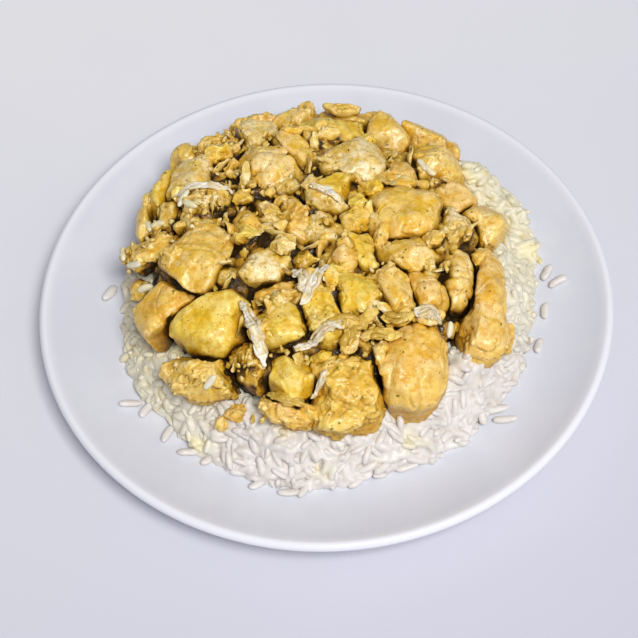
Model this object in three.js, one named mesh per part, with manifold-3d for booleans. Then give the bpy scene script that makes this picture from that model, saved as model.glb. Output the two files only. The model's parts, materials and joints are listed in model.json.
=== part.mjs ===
// Chicken curry: a heap of turmeric-yellow chicken pieces on a bed of white rice, on a white coupe plate.
// Millimetres, +Z up. The origin is on the table under the middle of the plate, +X to the eater's right
// and +Y away from the eater.
import * as THREE from 'three';
import { mergeVertices } from 'three/addons/utils/BufferGeometryUtils.js';
import Module from 'manifold-3d';

const wasm = await Module();
wasm.setup();

// Plate
const PLATE_RADIUS = 125;
const RIM_HEIGHT = 22;
const LIP_THICKNESS = 3.6;
const WALL_THICKNESS = 4.3;
const INSIDE_FLOOR = 5.5;
const INSIDE_CURVE = 4.5;
const FOOT_OUTER_RADIUS = 62;
const FOOT_INNER_RADIUS = 55.5;
const FOOT_HEIGHT = 2.2;
const PLATE_SIDES = 36;

// Rice bed
const RICE_RADIUS = 91;
const RICE_UNEVENNESS = 2.2;
const RICE_HEIGHT = 25;
const RICE_RIPPLE = 1.2;
const RICE_SHAPE = [[0, RICE_HEIGHT], [0.8, RICE_HEIGHT], [0.9, 21.5], [0.96, 16.5], [1, 11.5]];
const RICE_CENTRE = [0, -1];
const RICE_SIDES = 28;

// Heap of chicken
const HEAP_CENTRE = [-5, 5];
const HEAP_SHAPE = [[0, 60], [50, 57], [76, 47], [86, 38], [93, 20], [110, 8]];
const BED_COVER = 12;
const BED_RADIUS = 79;
const BED_SIDES = 14;

// Pieces are this much fuller than their listed size before they are pressed together
const FULLNESS = 1.08;

// Space left between neighbouring solids
const GAP = 0.35;

// Shapes a piece of chicken is cut or torn into. squareness is the power of the rounded box, taper is how
// much the far end narrows, bend is how far the middle bows sideways, lumps is the depth of its unevenness.
const FORMS = {
  block: { squareness: 4.0, taper: 0.08, bend: 0.00, lumps: 0.05 },
  lump: { squareness: 2.6, taper: 0.10, bend: 0.05, lumps: 0.09 },
  wedge: { squareness: 3.0, taper: 0.40, bend: 0.05, lumps: 0.05 },
  strip: { squareness: 2.8, taper: 0.12, bend: 0.12, lumps: 0.05 },
  slab: { squareness: 4.5, taper: 0.15, bend: 0.00, lumps: 0.03 },
  bean: { squareness: 2.4, taper: 0.00, bend: 0.35, lumps: 0.04 },
  drop: { squareness: 2.4, taper: 0.55, bend: 0.05, lumps: 0.04 },
};

// Turmeric coats the meat unevenly: four tints
const TINTS = {
  golden: 0xd9a83c,
  yellow: 0xdcb430,
  orange: 0xd3922f,
  pale: 0xd9bf86,
};

// Every piece: [x, y] of its middle, [length, width, height], turn of its length from +X in degrees,
// sunk is how far its top lies below the heap's surface (negative stands proud of it).
const PIECES = [
  { name: 'slab_left_back', at: [-57, 43], size: [26, 15, 14], turn: 75, sunk: 0, form: 'slab', tint: 'pale' },
  { name: 'strip_left_inner', at: [-68, 42], size: [29, 9, 12], turn: 72, sunk: 1, form: 'strip', tint: 'yellow' },
  { name: 'wedge_left', at: [-75, 28], size: [25, 11, 13], turn: 80, sunk: 1, form: 'wedge', tint: 'golden' },
  { name: 'knob_left', at: [-65, 22], size: [15, 12, 12], turn: 100, sunk: 1, form: 'lump', tint: 'golden' },
  { name: 'crumbly_left', at: [-51, 21], size: [21, 15, 13], turn: 15, sunk: 0, form: 'lump', tint: 'pale' },
  { name: 'large_left', at: [-51, -6], size: [32, 21, 19], turn: 45, sunk: -1, form: 'block', tint: 'golden' },
  { name: 'side_left', at: [-41, -7], size: [20, 12, 15], turn: 95, sunk: 3, form: 'strip', tint: 'orange' },
  { name: 'edge_left', at: [-73, 5], size: [22, 12, 12], turn: 5, sunk: 1, form: 'strip', tint: 'golden' },
  { name: 'crumbly_back_left', at: [-45, 62], size: [22, 16, 13], turn: 30, sunk: 0, form: 'lump', tint: 'golden' },
  { name: 'rounded_back_left', at: [-31, 68], size: [23, 19, 17], turn: 0, sunk: 0, form: 'lump', tint: 'pale' },
  { name: 'large_back_left', at: [-22, 44], size: [29, 27, 23], turn: 120, sunk: 0, form: 'lump', tint: 'golden' },
  { name: 'tapered_back', at: [-10, 50], size: [31, 15, 15], turn: -59, sunk: 1, form: 'drop', tint: 'golden' },
  { name: 'ribbed_back', at: [8, 67], size: [26, 24, 20], turn: 20, sunk: 0, form: 'lump', tint: 'yellow' },
  { name: 'strip_back_left', at: [-28, 80], size: [24, 10, 11], turn: 14, sunk: 0, form: 'strip', tint: 'orange' },
  { name: 'lumpy_back_left', at: [-10, 80], size: [24, 13, 13], turn: 12, sunk: 1, form: 'lump', tint: 'golden' },
  { name: 'roll_back', at: [12, 82], size: [18, 7, 8], turn: 0, sunk: -4, form: 'strip', tint: 'golden' },
  { name: 'wide_back', at: [16, 81], size: [31, 13, 14], turn: -2, sunk: -3, form: 'strip', tint: 'golden' },
  { name: 'back_right', at: [31, 68], size: [22, 20, 19], turn: -50, sunk: 0, form: 'lump', tint: 'golden' },
  { name: 'block_back_right', at: [46, 71], size: [21, 14, 15], turn: -10, sunk: -2, form: 'block', tint: 'golden' },
  { name: 'small_back_right', at: [58, 68], size: [14, 12, 12], turn: -45, sunk: -6, form: 'lump', tint: 'orange' },
  { name: 'large_right_back', at: [51, 47], size: [27, 25, 24], turn: 40, sunk: 0, form: 'lump', tint: 'golden' },
  { name: 'large_centre_back', at: [16, 43], size: [32, 27, 24], turn: -12, sunk: 1, form: 'lump', tint: 'pale' },
  { name: 'lumps_centre', at: [6, 29], size: [15, 10, 11], turn: 50, sunk: 1, form: 'bean', tint: 'yellow' },
  { name: 'under_centre_back', at: [34, 36], size: [17, 15, 15], turn: 80, sunk: 4, form: 'lump', tint: 'orange' },
  { name: 'block_centre_right', at: [35, 13], size: [29, 27, 25], turn: -8, sunk: 0, form: 'block', tint: 'golden' },
  { name: 'small_right', at: [59, 26], size: [15, 13, 12], turn: -30, sunk: 2, form: 'lump', tint: 'orange' },
  { name: 'round_right', at: [67, 14], size: [23, 20, 17], turn: 20, sunk: 1, form: 'lump', tint: 'golden' },
  { name: 'mottled_right', at: [55, 7], size: [20, 17, 17], turn: 70, sunk: 0, form: 'lump', tint: 'pale' },
  { name: 'curved_right', at: [55, -18], size: [28, 15, 17], turn: 75, sunk: 1, form: 'bean', tint: 'golden' },
  { name: 'long_right', at: [64, -25], size: [43, 19, 20], turn: 85, sunk: 1, form: 'block', tint: 'orange' },
  { name: 'bean_right', at: [40, -27], size: [20, 14, 15], turn: -48, sunk: 1, form: 'bean', tint: 'orange' },
  { name: 'small_tan_centre', at: [8, -11], size: [15, 9, 11], turn: 70, sunk: 1, form: 'bean', tint: 'orange' },
  { name: 'wedge_centre', at: [16, -8], size: [26, 14, 18], turn: -68, sunk: 1, form: 'wedge', tint: 'yellow' },
  { name: 'curled_centre', at: [14, 9], size: [16, 11, 11], turn: 15, sunk: 1, form: 'bean', tint: 'golden' },
  { name: 'flake_centre', at: [2, 18], size: [20, 9, 9], turn: -28, sunk: 1, form: 'slab', tint: 'pale' },
  { name: 'pale_centre', at: [2, 6], size: [22, 14, 16], turn: -62, sunk: 1, form: 'wedge', tint: 'pale' },
  { name: 'orange_lumps', at: [-9, 12], size: [20, 11, 14], turn: 85, sunk: 0, form: 'lump', tint: 'orange' },
  { name: 'small_centre_left', at: [-22, 12], size: [13, 11, 12], turn: 160, sunk: 1, form: 'lump', tint: 'golden' },
  { name: 'almond_left', at: [-31, 6], size: [18, 9, 12], turn: 97, sunk: -1, form: 'bean', tint: 'orange' },
  { name: 'cube_centre_left', at: [-23, -13], size: [19, 17, 17], turn: 32, sunk: 0, form: 'block', tint: 'pale' },
  { name: 'flat_centre', at: [-19, -26], size: [17, 9, 11], turn: 8, sunk: 3, form: 'slab', tint: 'orange' },
  { name: 'mottled_front', at: [-3, -36], size: [25, 20, 19], turn: 110, sunk: 0, form: 'lump', tint: 'yellow' },
  { name: 'lumpy_front', at: [-18, -41], size: [20, 17, 17], turn: 20, sunk: 0, form: 'lump', tint: 'yellow' },
  { name: 'large_front_left', at: [-62, -26], size: [31, 21, 20], turn: 25, sunk: 1, form: 'block', tint: 'orange' },
  { name: 'bright_front_left', at: [-45, -34], size: [33, 25, 22], turn: 15, sunk: 1, form: 'lump', tint: 'yellow' },
  { name: 'front_left_low', at: [-49, -54], size: [26, 20, 18], turn: -10, sunk: 2, form: 'lump', tint: 'golden' },
  { name: 'small_front_left', at: [-31, -55], size: [17, 13, 13], turn: -40, sunk: 3, form: 'lump', tint: 'golden' },
  { name: 'pentagon_front', at: [-15, -61], size: [21, 20, 18], turn: 90, sunk: 0, form: 'wedge', tint: 'yellow' },
  { name: 'strip_front', at: [-18, -72], size: [20, 11, 11], turn: -35, sunk: 3, form: 'strip', tint: 'orange' },
  { name: 'rough_front', at: [7, -66], size: [30, 25, 22], turn: 95, sunk: 1, form: 'block', tint: 'golden' },
  { name: 'large_front_right', at: [33, -53], size: [39, 31, 28], turn: 80, sunk: 0, form: 'lump', tint: 'orange' },
  { name: 'round_centre_right', at: [13, -28], size: [20, 17, 17], turn: 15, sunk: 1, form: 'lump', tint: 'yellow' },
  { name: 'irregular_right', at: [29, -26], size: [23, 17, 18], turn: -65, sunk: 0, form: 'wedge', tint: 'golden' },
  { name: 'wide_centre_right', at: [35, -9], size: [28, 15, 14], turn: 5, sunk: 1, form: 'bean', tint: 'golden' },
  { name: 'flank_back_left', at: [-58, 59], size: [20, 16, 15], turn: 50, sunk: 0, form: 'lump', tint: 'golden' },
  { name: 'flank_back_middle', at: [-6, 86], size: [24, 14, 14], turn: 5, sunk: 6, form: 'lump', tint: 'orange' },
  { name: 'flank_back_right', at: [34, 79], size: [21, 15, 14], turn: -25, sunk: 5, form: 'block', tint: 'golden' },
];

// Pieces longer than this are given finer facets
const LARGE_PIECE = 33;

function interpolate(table, at) {
  for (let i = 1; i < table.length; i++) {
    const [x0, y0] = table[i - 1];
    const [x1, y1] = table[i];
    if (at <= x1) {
      return y0 + (y1 - y0) * Math.max(0, at - x0) / (x1 - x0);
    }
  }
  return table[table.length - 1][1];
}

// Repeatable numbers between 0 and 1
function seeded(seed) {
  let state = (seed * 7919 + 104729) % 2147483647;
  return () => {
    state = (state * 48271) % 2147483647;
    return state / 2147483647;
  };
}

function heapTop(x, y) {
  return interpolate(HEAP_SHAPE, Math.hypot(x - HEAP_CENTRE[0], y - HEAP_CENTRE[1]));
}

function riceTop(x, y) {
  return interpolate(RICE_SHAPE, Math.hypot(x - RICE_CENTRE[0], y - RICE_CENTRE[1]) / RICE_RADIUS);
}

// Direction square to a surface, leaning by the given share of its slope
function surfaceNormal(surface, x, y, share) {
  const step = 2;
  return new THREE.Vector3(
    (share * (surface(x - step, y) - surface(x + step, y))) / (2 * step),
    (share * (surface(x, y - step) - surface(x, y + step))) / (2 * step),
    1,
  ).normalize();
}

// Cuts a solid flat along the plane that touches a surface at x, y, raised by lift
function trimToSurface(solid, surface, x, y, lift) {
  const normal = surfaceNormal(surface, x, y, 1);
  const touch = new THREE.Vector3(x, y, surface(x, y) + lift);
  return solid.trimByPlane([normal.x, normal.y, normal.z], normal.dot(touch));
}

// Inside of the plate: nearly level in the middle, sweeping up to the lip
const LIP_INNER_RADIUS = PLATE_RADIUS - LIP_THICKNESS;
const INSIDE_RADII = [0, 45, 70, 90, 104, 114];
const INSIDE_PROFILE = INSIDE_RADII.map((r) => [
  r,
  INSIDE_FLOOR + (RIM_HEIGHT - 0.8 - INSIDE_FLOOR) * (r / LIP_INNER_RADIUS) ** INSIDE_CURVE,
]);

function makePlate() {
  const underside = [66, 84, 101, 113].map((r) => [
    r,
    interpolate(INSIDE_PROFILE, r) - WALL_THICKNESS,
  ]);
  const profile = [
    [0, FOOT_HEIGHT],
    [FOOT_INNER_RADIUS - 3, FOOT_HEIGHT],
    [FOOT_INNER_RADIUS, 0],
    [FOOT_OUTER_RADIUS, 0],
    ...underside,
    [PLATE_RADIUS - 5.0, RIM_HEIGHT - 7.4],
    [PLATE_RADIUS - 1.5, RIM_HEIGHT - 4.6],
    [PLATE_RADIUS, RIM_HEIGHT - 1.6],
    [PLATE_RADIUS - 0.6, RIM_HEIGHT - 0.3],
    [PLATE_RADIUS - 2.0, RIM_HEIGHT],
    [LIP_INNER_RADIUS, RIM_HEIGHT - 0.8],
    ...INSIDE_PROFILE.slice().reverse(),
  ];
  const points = profile.map(([r, z]) => new THREE.Vector2(r, z));
  const geometry = new THREE.LatheGeometry(points, PLATE_SIDES);
  geometry.rotateX(Math.PI / 2);
  return geometry;
}

// Closed body between a floor and a top, both given as heights over polar rings about a centre
function makeMound({ centre, sides, rings, outline, top, floor }) {
  const positions = [];
  const faces = [];
  const ringPoint = (fraction, side, height) => {
    const angle = (2 * Math.PI * side) / sides;
    const radius = outline(angle) * fraction;
    const x = centre[0] + radius * Math.cos(angle);
    const y = centre[1] + radius * Math.sin(angle);
    positions.push(x, y, height(x, y, angle, fraction));
  };
  const addSurface = (height) => {
    const first = positions.length / 3;
    positions.push(centre[0], centre[1], height(centre[0], centre[1], 0, 0));
    for (const fraction of rings) {
      for (let side = 0; side < sides; side++) {
        ringPoint(fraction, side, height);
      }
    }
    return first;
  };
  const at = (first, ring, side) => first + 1 + ring * sides + (side % sides);
  const topFirst = addSurface(top);
  const floorFirst = addSurface(floor);
  for (let side = 0; side < sides; side++) {
    faces.push(topFirst, at(topFirst, 0, side), at(topFirst, 0, side + 1));
    faces.push(floorFirst, at(floorFirst, 0, side + 1), at(floorFirst, 0, side));
    for (let ring = 1; ring < rings.length; ring++) {
      const a = at(topFirst, ring - 1, side);
      const b = at(topFirst, ring, side);
      const c = at(topFirst, ring, side + 1);
      const d = at(topFirst, ring - 1, side + 1);
      faces.push(a, b, c, a, c, d);
      const e = at(floorFirst, ring - 1, side);
      const f = at(floorFirst, ring, side);
      const g = at(floorFirst, ring, side + 1);
      const h = at(floorFirst, ring - 1, side + 1);
      faces.push(e, g, f, e, h, g);
    }
    const last = rings.length - 1;
    const p = at(floorFirst, last, side);
    const q = at(floorFirst, last, side + 1);
    const r = at(topFirst, last, side + 1);
    const s = at(topFirst, last, side);
    faces.push(p, q, r, p, r, s);
  }
  const geometry = new THREE.BufferGeometry();
  geometry.setAttribute('position', new THREE.Float32BufferAttribute(positions, 3));
  geometry.setIndex(faces);
  return geometry;
}

// Rice: level under the chicken, falling to a ragged edge on the plate
function makeRice() {
  const outline = (angle) => RICE_RADIUS
    + RICE_UNEVENNESS * (0.6 * Math.sin(3 * angle + 1.0) + 0.5 * Math.sin(7 * angle + 2.0)
      + 0.5 * Math.sin(11 * angle + 0.5));
  const top = (x, y, angle, fraction) => interpolate(RICE_SHAPE, fraction)
    + (fraction > 0.85 && fraction < 1 ? RICE_RIPPLE * Math.sin(9 * angle + fraction * 40) : 0);
  const floor = (x, y) => interpolate(INSIDE_PROFILE, Math.hypot(x, y)) + GAP;
  return makeMound({
    centre: RICE_CENTRE,
    sides: RICE_SIDES,
    rings: [0.48, 0.78, 0.9, 0.96, 1],
    outline,
    top,
    floor,
  });
}

// Bed of small crumbled chicken and sauce that fills the heap between and under the pieces. grow makes the
// slightly larger copy that the pieces at its edge are cut back to.
function makeBed(grow) {
  const outline = (angle) => BED_RADIUS + grow + 1.5 * Math.sin(4 * angle + 0.7);
  const dome = (x, y, angle, fraction) => {
    const away = Math.hypot(x - HEAP_CENTRE[0], y - HEAP_CENTRE[1]);
    const full = interpolate(HEAP_SHAPE, away) - BED_COVER;
    return (fraction < 1 ? full : RICE_HEIGHT + 2) + grow;
  };
  return makeMound({
    centre: HEAP_CENTRE,
    sides: BED_SIDES,
    rings: [0.4, 0.68, 0.9, 1],
    outline,
    top: dome,
    floor: () => RICE_HEIGHT + GAP - grow,
  });
}

// Points of one piece, standing in its place in the heap
function makePiece(piece, index) {
  const random = seeded(index + 1);
  const form = FORMS[piece.form];
  const [length, width, height] = piece.size.map((extent) => extent * FULLNESS);
  const detail = length > LARGE_PIECE ? 2 : 1;
  const geometry = new THREE.IcosahedronGeometry(1, detail);
  geometry.deleteAttribute('normal');
  geometry.deleteAttribute('uv');
  const merged = mergeVertices(geometry, 1e-4);
  const phases = [0, 1, 2].map(() => 2 * Math.PI * random());
  const spin = new THREE.Quaternion().setFromEuler(
    new THREE.Euler(6 * random(), 6 * random(), 6 * random()),
  );
  const [x, y] = piece.at;
  const lean = new THREE.Quaternion().setFromUnitVectors(
    new THREE.Vector3(0, 0, 1),
    surfaceNormal(heapTop, x, y, 0.7),
  );
  const turn = new THREE.Quaternion().setFromAxisAngle(
    new THREE.Vector3(0, 0, 1),
    (piece.turn * Math.PI) / 180,
  );
  const middle = new THREE.Vector3(x, y, heapTop(x, y) - piece.size[2] / 2 - piece.sunk);
  const position = merged.getAttribute('position');
  const point = new THREE.Vector3();
  for (let i = 0; i < position.count; i++) {
    point.fromBufferAttribute(position, i).applyQuaternion(spin).normalize();
    const power = form.squareness;
    const reach = (
      Math.abs(point.x) ** power + Math.abs(point.y) ** power + Math.abs(point.z) ** power
    ) ** (-1 / power);
    const lump = 1 + form.lumps * (
      Math.sin(3.1 * point.x + phases[0]) + Math.sin(3.7 * point.y + phases[1])
      + 0.7 * Math.sin(4.3 * point.z + phases[2])
    );
    point.multiplyScalar(reach * lump);
    const narrowing = 1 - form.taper * (0.5 + 0.5 * point.x);
    point.y = point.y * narrowing + form.bend * (point.x * point.x - 0.35);
    point.z *= narrowing;
    point.set((point.x * length) / 2, (point.y * width) / 2, (point.z * height) / 2);
    point.applyQuaternion(turn).applyQuaternion(lean).add(middle);
    position.setXYZ(i, point.x, point.y, point.z);
  }
  return merged;
}

function toSolid(geometry) {
  const clean = geometry.clone();
  clean.deleteAttribute('normal');
  clean.deleteAttribute('uv');
  const merged = mergeVertices(clean, 1e-4);
  return new wasm.Manifold(new wasm.Mesh({
    numProp: 3,
    vertProperties: new Float32Array(merged.getAttribute('position').array),
    triVerts: new Uint32Array(merged.getIndex().array),
  }));
}

function toGeometry(solid) {
  const mesh = solid.getMesh();
  const geometry = new THREE.BufferGeometry();
  geometry.setAttribute('position', new THREE.Float32BufferAttribute(mesh.vertProperties, 3));
  geometry.setIndex(Array.from(mesh.triVerts));
  const facets = geometry.toNonIndexed();
  facets.computeVertexNormals();
  return facets;
}

// Evenly spread directions over the upper half of a sphere
function spreadDirections(count) {
  const directions = [];
  for (let i = 0; i < count; i++) {
    const z = (i + 0.5) / count;
    const angle = i * Math.PI * (3 - Math.sqrt(5));
    const radius = Math.sqrt(1 - z * z);
    directions.push(new THREE.Vector3(radius * Math.cos(angle), radius * Math.sin(angle), z));
    directions.push(directions[directions.length - 1].clone().negate());
  }
  return directions;
}

function furthest(geometry, direction) {
  const position = geometry.getAttribute('position');
  const point = new THREE.Vector3();
  let best = -Infinity;
  for (let i = 0; i < position.count; i++) {
    best = Math.max(best, point.fromBufferAttribute(position, i).dot(direction));
  }
  return best;
}

// Neighbours are pressed flat against each other: each pair is parted by the plane along which the two
// overlap least, and the lower piece gives way more than the upper one.
function partNeighbours(shapes, solids) {
  const directions = spreadDirections(120);
  const spheres = shapes.map((shape) => {
    shape.computeBoundingSphere();
    return shape.boundingSphere;
  });
  const reaches = shapes.map((shape) => directions.map((direction) => furthest(shape, direction)));
  for (let a = 0; a < shapes.length; a++) {
    for (let b = a + 1; b < shapes.length; b++) {
      const apart = spheres[a].center.distanceTo(spheres[b].center);
      if (apart > spheres[a].radius + spheres[b].radius + GAP) {
        continue;
      }
      let least = Infinity;
      let chosen = 0;
      for (let i = 0; i < directions.length; i++) {
        const opposite = i % 2 === 0 ? i + 1 : i - 1;
        const overlap = reaches[a][i] + reaches[b][opposite];
        if (overlap < least) {
          least = overlap;
          chosen = i;
        }
      }
      if (least < -GAP) {
        continue;
      }
      const direction = directions[chosen];
      const share = spheres[a].center.z > spheres[b].center.z ? 0.35 : 0.65;
      const plane = reaches[a][chosen] - share * least;
      const away = [-direction.x, -direction.y, -direction.z];
      const toward = [direction.x, direction.y, direction.z];
      solids[a] = solids[a].trimByPlane(away, -(plane - GAP / 2));
      solids[b] = solids[b].trimByPlane(toward, plane + GAP / 2);
    }
  }
}

// A piece well inside the heap lies flat on the bed; one at the edge hangs over the bed's rim and the rice
function restOnBed(solid, piece, bedCutter) {
  const [x, y] = piece.at;
  const away = Math.hypot(x - HEAP_CENTRE[0], y - HEAP_CENTRE[1]) + piece.size[0] / 2;
  if (away < BED_RADIUS * 0.9) {
    return trimToSurface(solid, heapTop, x, y, 1.2 * GAP - BED_COVER);
  }
  const offBed = solid.subtract(bedCutter);
  return trimToSurface(offBed, riceTop, x, y, RICE_RIPPLE + GAP);
}

function largestBody(solid) {
  const bodies = solid.decompose();
  bodies.sort((p, q) => q.volume() - p.volume());
  return bodies[0];
}

const root = new THREE.Group();

function addNode(name, geometry, color, roughness) {
  const material = new THREE.MeshStandardMaterial({ color, roughness, metalness: 0 });
  const mesh = new THREE.Mesh(geometry, material);
  mesh.name = name;
  root.add(mesh);
}

addNode('plate', makePlate(), 0xf1f1f3, 0.18);
addNode('rice_bed', toGeometry(toSolid(makeRice())), 0xe9e4dc, 0.55);
addNode('curry_bed', toGeometry(toSolid(makeBed(0))), 0x8a6420, 0.6);

const bedCutter = toSolid(makeBed(GAP));
const shapes = PIECES.map((piece, index) => makePiece(piece, index));
const solids = shapes.map((shape) => toSolid(shape));
partNeighbours(shapes, solids);
PIECES.forEach((piece, index) => {
  const rested = largestBody(restOnBed(solids[index], piece, bedCutter));
  addNode(`chicken_${piece.name}`, toGeometry(rested), TINTS[piece.tint], 0.45);
});

export default root;
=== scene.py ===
import json
import math

import bmesh
import bpy
import numpy as np
from mathutils import Matrix, Vector
from mathutils.bvhtree import BVHTree

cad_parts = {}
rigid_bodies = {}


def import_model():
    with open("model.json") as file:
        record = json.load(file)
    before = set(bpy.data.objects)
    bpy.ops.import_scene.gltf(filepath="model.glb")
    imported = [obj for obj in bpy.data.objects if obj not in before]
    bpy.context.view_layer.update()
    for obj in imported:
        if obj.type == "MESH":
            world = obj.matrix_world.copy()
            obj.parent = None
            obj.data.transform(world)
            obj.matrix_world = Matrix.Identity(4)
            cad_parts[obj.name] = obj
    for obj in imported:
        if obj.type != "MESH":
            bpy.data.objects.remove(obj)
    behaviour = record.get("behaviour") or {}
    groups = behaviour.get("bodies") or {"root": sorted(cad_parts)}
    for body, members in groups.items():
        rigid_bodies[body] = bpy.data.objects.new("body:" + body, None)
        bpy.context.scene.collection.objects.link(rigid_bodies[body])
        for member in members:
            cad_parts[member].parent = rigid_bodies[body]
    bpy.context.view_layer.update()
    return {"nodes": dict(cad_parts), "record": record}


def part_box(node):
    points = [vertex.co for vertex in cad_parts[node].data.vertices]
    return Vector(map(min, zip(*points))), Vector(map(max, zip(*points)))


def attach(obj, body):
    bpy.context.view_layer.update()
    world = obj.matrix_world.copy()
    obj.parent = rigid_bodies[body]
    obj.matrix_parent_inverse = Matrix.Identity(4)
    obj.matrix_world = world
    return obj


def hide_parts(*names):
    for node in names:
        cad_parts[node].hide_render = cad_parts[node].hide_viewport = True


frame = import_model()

bl_info = {
    "name": "Chicken curry on rice",
    "version": (1, 0, 0),
    "blender": (4, 5, 0),
    "location": "View3D > Sidebar > Curry",
    "description": "Dresses a plated chicken curry: meat, crumbs, shreds, rice, plate and stage",
    "category": "Object",
}

MM = 0.001
CHICKEN = sorted(name for name in frame["nodes"] if name.startswith("chicken_"))
SLOTS = {row["node"]: row["material_slot"] for row in frame["record"]["subparts"]}
PLATE_LOW, PLATE_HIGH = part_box("plate")
PLATE_RADIUS = 0.5 * (PLATE_HIGH.x - PLATE_LOW.x) / MM
RIM_HEIGHT = PLATE_HIGH.z / MM
RICE_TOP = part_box("rice_bed")[1].z / MM
# The plate's inside: the height of its floor, how steeply it curves up, and how far the
# curve ends below the rim and within it
INSIDE_FLOOR = 5.5
WELL_CURVE = 4.5
LIP_DROP = 0.3
LIP_WIDTH = 3.3
# How far food is pressed into the glaze, so that it doesn't hover
PRESSED_IN = 0.3


def unit(values):
    """Keeps values between 0 and 1"""
    return np.clip(values, 0, 1)


# ---------------------------------------------------------------- repeatable noise

GRADIENTS = np.random.default_rng(11).normal(size=(256, 3))
GRADIENTS /= np.linalg.norm(GRADIENTS, axis=1)[:, None]


def smooth_noise(points, size, seed):
    """Gradient noise of about -1 to 1, one value a point; size is a lump's width in the points' unit."""
    place = points / size + np.array([seed * 13.7, seed * 7.3, seed * 3.1])
    cell = np.floor(place).astype(np.int64)
    inside = place - cell
    ease = inside ** 3 * (inside * (inside * 6 - 15) + 10)
    total = np.zeros(len(points))
    for corner in np.ndindex(2, 2, 2):
        at = cell + corner
        mixed = (at[:, 0] * 73856093) ^ (at[:, 1] * 19349663) ^ (at[:, 2] * 83492791)
        mixed = (mixed ^ (mixed >> 13)) * 1274126177
        gradient = GRADIENTS[(mixed >> 7) & 255]
        weight = np.prod(np.where(corner, ease, 1 - ease), axis=1)
        total += weight * np.einsum("ij,ij->i", inside - corner, gradient)
    return total * 1.7


def layered_noise(points, size, seed, layers):
    """Noise with finer layers over it, each half as wide and half as strong as the one before"""
    total = np.zeros(len(points))
    for layer in range(layers):
        total += smooth_noise(points, size * 0.5 ** layer, seed + 5 * layer) * 0.5 ** layer
    return total


def vector_noise(points, size, seed):
    return np.stack([smooth_noise(points, size, seed + 31 * axis) for axis in range(3)], axis=1)


# ---------------------------------------------------------------- height of the food

FIELD_CELL = 1.0
FIELD_REACH = 125
FIELD_SIDE = int(2 * FIELD_REACH / FIELD_CELL)


class FoodHeight:
    """The highest food above each square millimetre of the plate, for laying and shading small things."""

    def __init__(self):
        self.top = np.zeros((FIELD_SIDE, FIELD_SIDE))

    def cells(self, x, y):
        column = np.clip(((np.asarray(x) + FIELD_REACH) / FIELD_CELL).astype(int), 0, FIELD_SIDE - 1)
        row = np.clip(((np.asarray(y) + FIELD_REACH) / FIELD_CELL).astype(int), 0, FIELD_SIDE - 1)
        return column, row

    def add(self, points):
        np.maximum.at(self.top, self.cells(points[:, 0], points[:, 1]), points[:, 2])

    def at(self, x, y):
        return self.top[self.cells(x, y)]

    def under(self, x, y, width):
        """Mean height beneath something this wide"""
        steps = np.linspace(-0.4, 0.4, 5) * width
        return np.mean([self.at(x + a, y + b) for a in steps for b in steps], axis=0)

    def smoothed(self, passes):
        top = self.top.copy()
        for _ in range(passes):
            top = (top + np.roll(top, 1, 0) + np.roll(top, -1, 0)) / 3
            top = (top + np.roll(top, 1, 1) + np.roll(top, -1, 1)) / 3
        return top

    def slope(self, x, y):
        """Upright direction of the food's surface at a place, for laying a small piece on it"""
        reach = 4.0
        width = 7.0
        rise_x = (self.under(x + reach, y, width) - self.under(x - reach, y, width)) / (2 * reach)
        rise_y = (self.under(x, y + reach, width) - self.under(x, y - reach, width)) / (2 * reach)
        return Vector((-0.7 * rise_x, -0.7 * rise_y, 1.0)).normalized()

    def open_sky(self, points):
        """Share of the light from above that reaches each point, from 0 in a deep gap to 1 in the open."""
        seen = np.zeros(len(points))
        ways = 12
        for way in range(ways):
            angle = 2 * math.pi * (way + 0.5) / ways
            steepest = np.zeros(len(points))
            for distance in (1.6, 2.8, 4.5, 7.0, 10.5, 15.0):
                x = points[:, 0] + distance * math.cos(angle)
                y = points[:, 1] + distance * math.sin(angle)
                steepest = np.maximum(steepest, (self.at(x, y) - points[:, 2] - 0.3) / distance)
            seen += 1 / (1 + steepest ** 2)
        return seen / ways


HEAP_MIDDLE = (-5, 5)


def from_heap_middle(x, y):
    return np.hypot(x - HEAP_MIDDLE[0], y - HEAP_MIDDLE[1])


def from_plate_middle(points):
    return np.hypot(points[:, 0], points[:, 1])


def turned_flat(points, degrees):
    """Turns points about the upright axis."""
    return points @ np.array(Matrix.Rotation(math.radians(degrees), 3, "Z")).T


FOOD = FoodHeight()
MEAT = FoodHeight()
FILLING = FoodHeight()
FOOD_PIECES = set()


def spread_height(top, passes, pick):
    """Widens what stands in a height field, or its gaps, by one cell a pass."""
    for _ in range(passes):
        for axis in (0, 1):
            top = pick(top, pick(np.roll(top, 1, axis), np.roll(top, -1, axis)))
    return top


# ---------------------------------------------------------------- mesh helpers

def mesh_points(mesh):
    """The mesh's points, in millimetres"""
    flat = np.empty(len(mesh.vertices) * 3)
    mesh.vertices.foreach_get("co", flat)
    return flat.reshape(-1, 3) / MM


def mesh_normals(mesh):
    flat = np.empty(len(mesh.vertices) * 3)
    mesh.vertex_normals.foreach_get("vector", flat)
    return flat.reshape(-1, 3)


def set_points(mesh, points):
    mesh.vertices.foreach_set("co", (points * MM).ravel())
    mesh.update()


def mark(mesh, **marks):
    """Stores a value for each point of the mesh, under each name, for its material or for scattering."""
    for name, values in marks.items():
        layer = mesh.attributes.get(name) or mesh.attributes.new(name, "FLOAT", "POINT")
        layer.data.foreach_set("value", np.asarray(values, np.float32))


def smooth_shaded(mesh):
    mesh.polygons.foreach_set("use_smooth", np.ones(len(mesh.polygons), bool))
    mesh.update()


def new_object(name, data):
    made = bpy.data.objects.new(name, data)
    bpy.context.scene.collection.objects.link(made)
    return made


def mesh_from(name, points, faces):
    """points in millimetres"""
    mesh = bpy.data.meshes.new(name)
    mesh.from_pydata((np.asarray(points, float) * MM).tolist(), [], faces)
    mesh.update()
    return mesh


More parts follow.
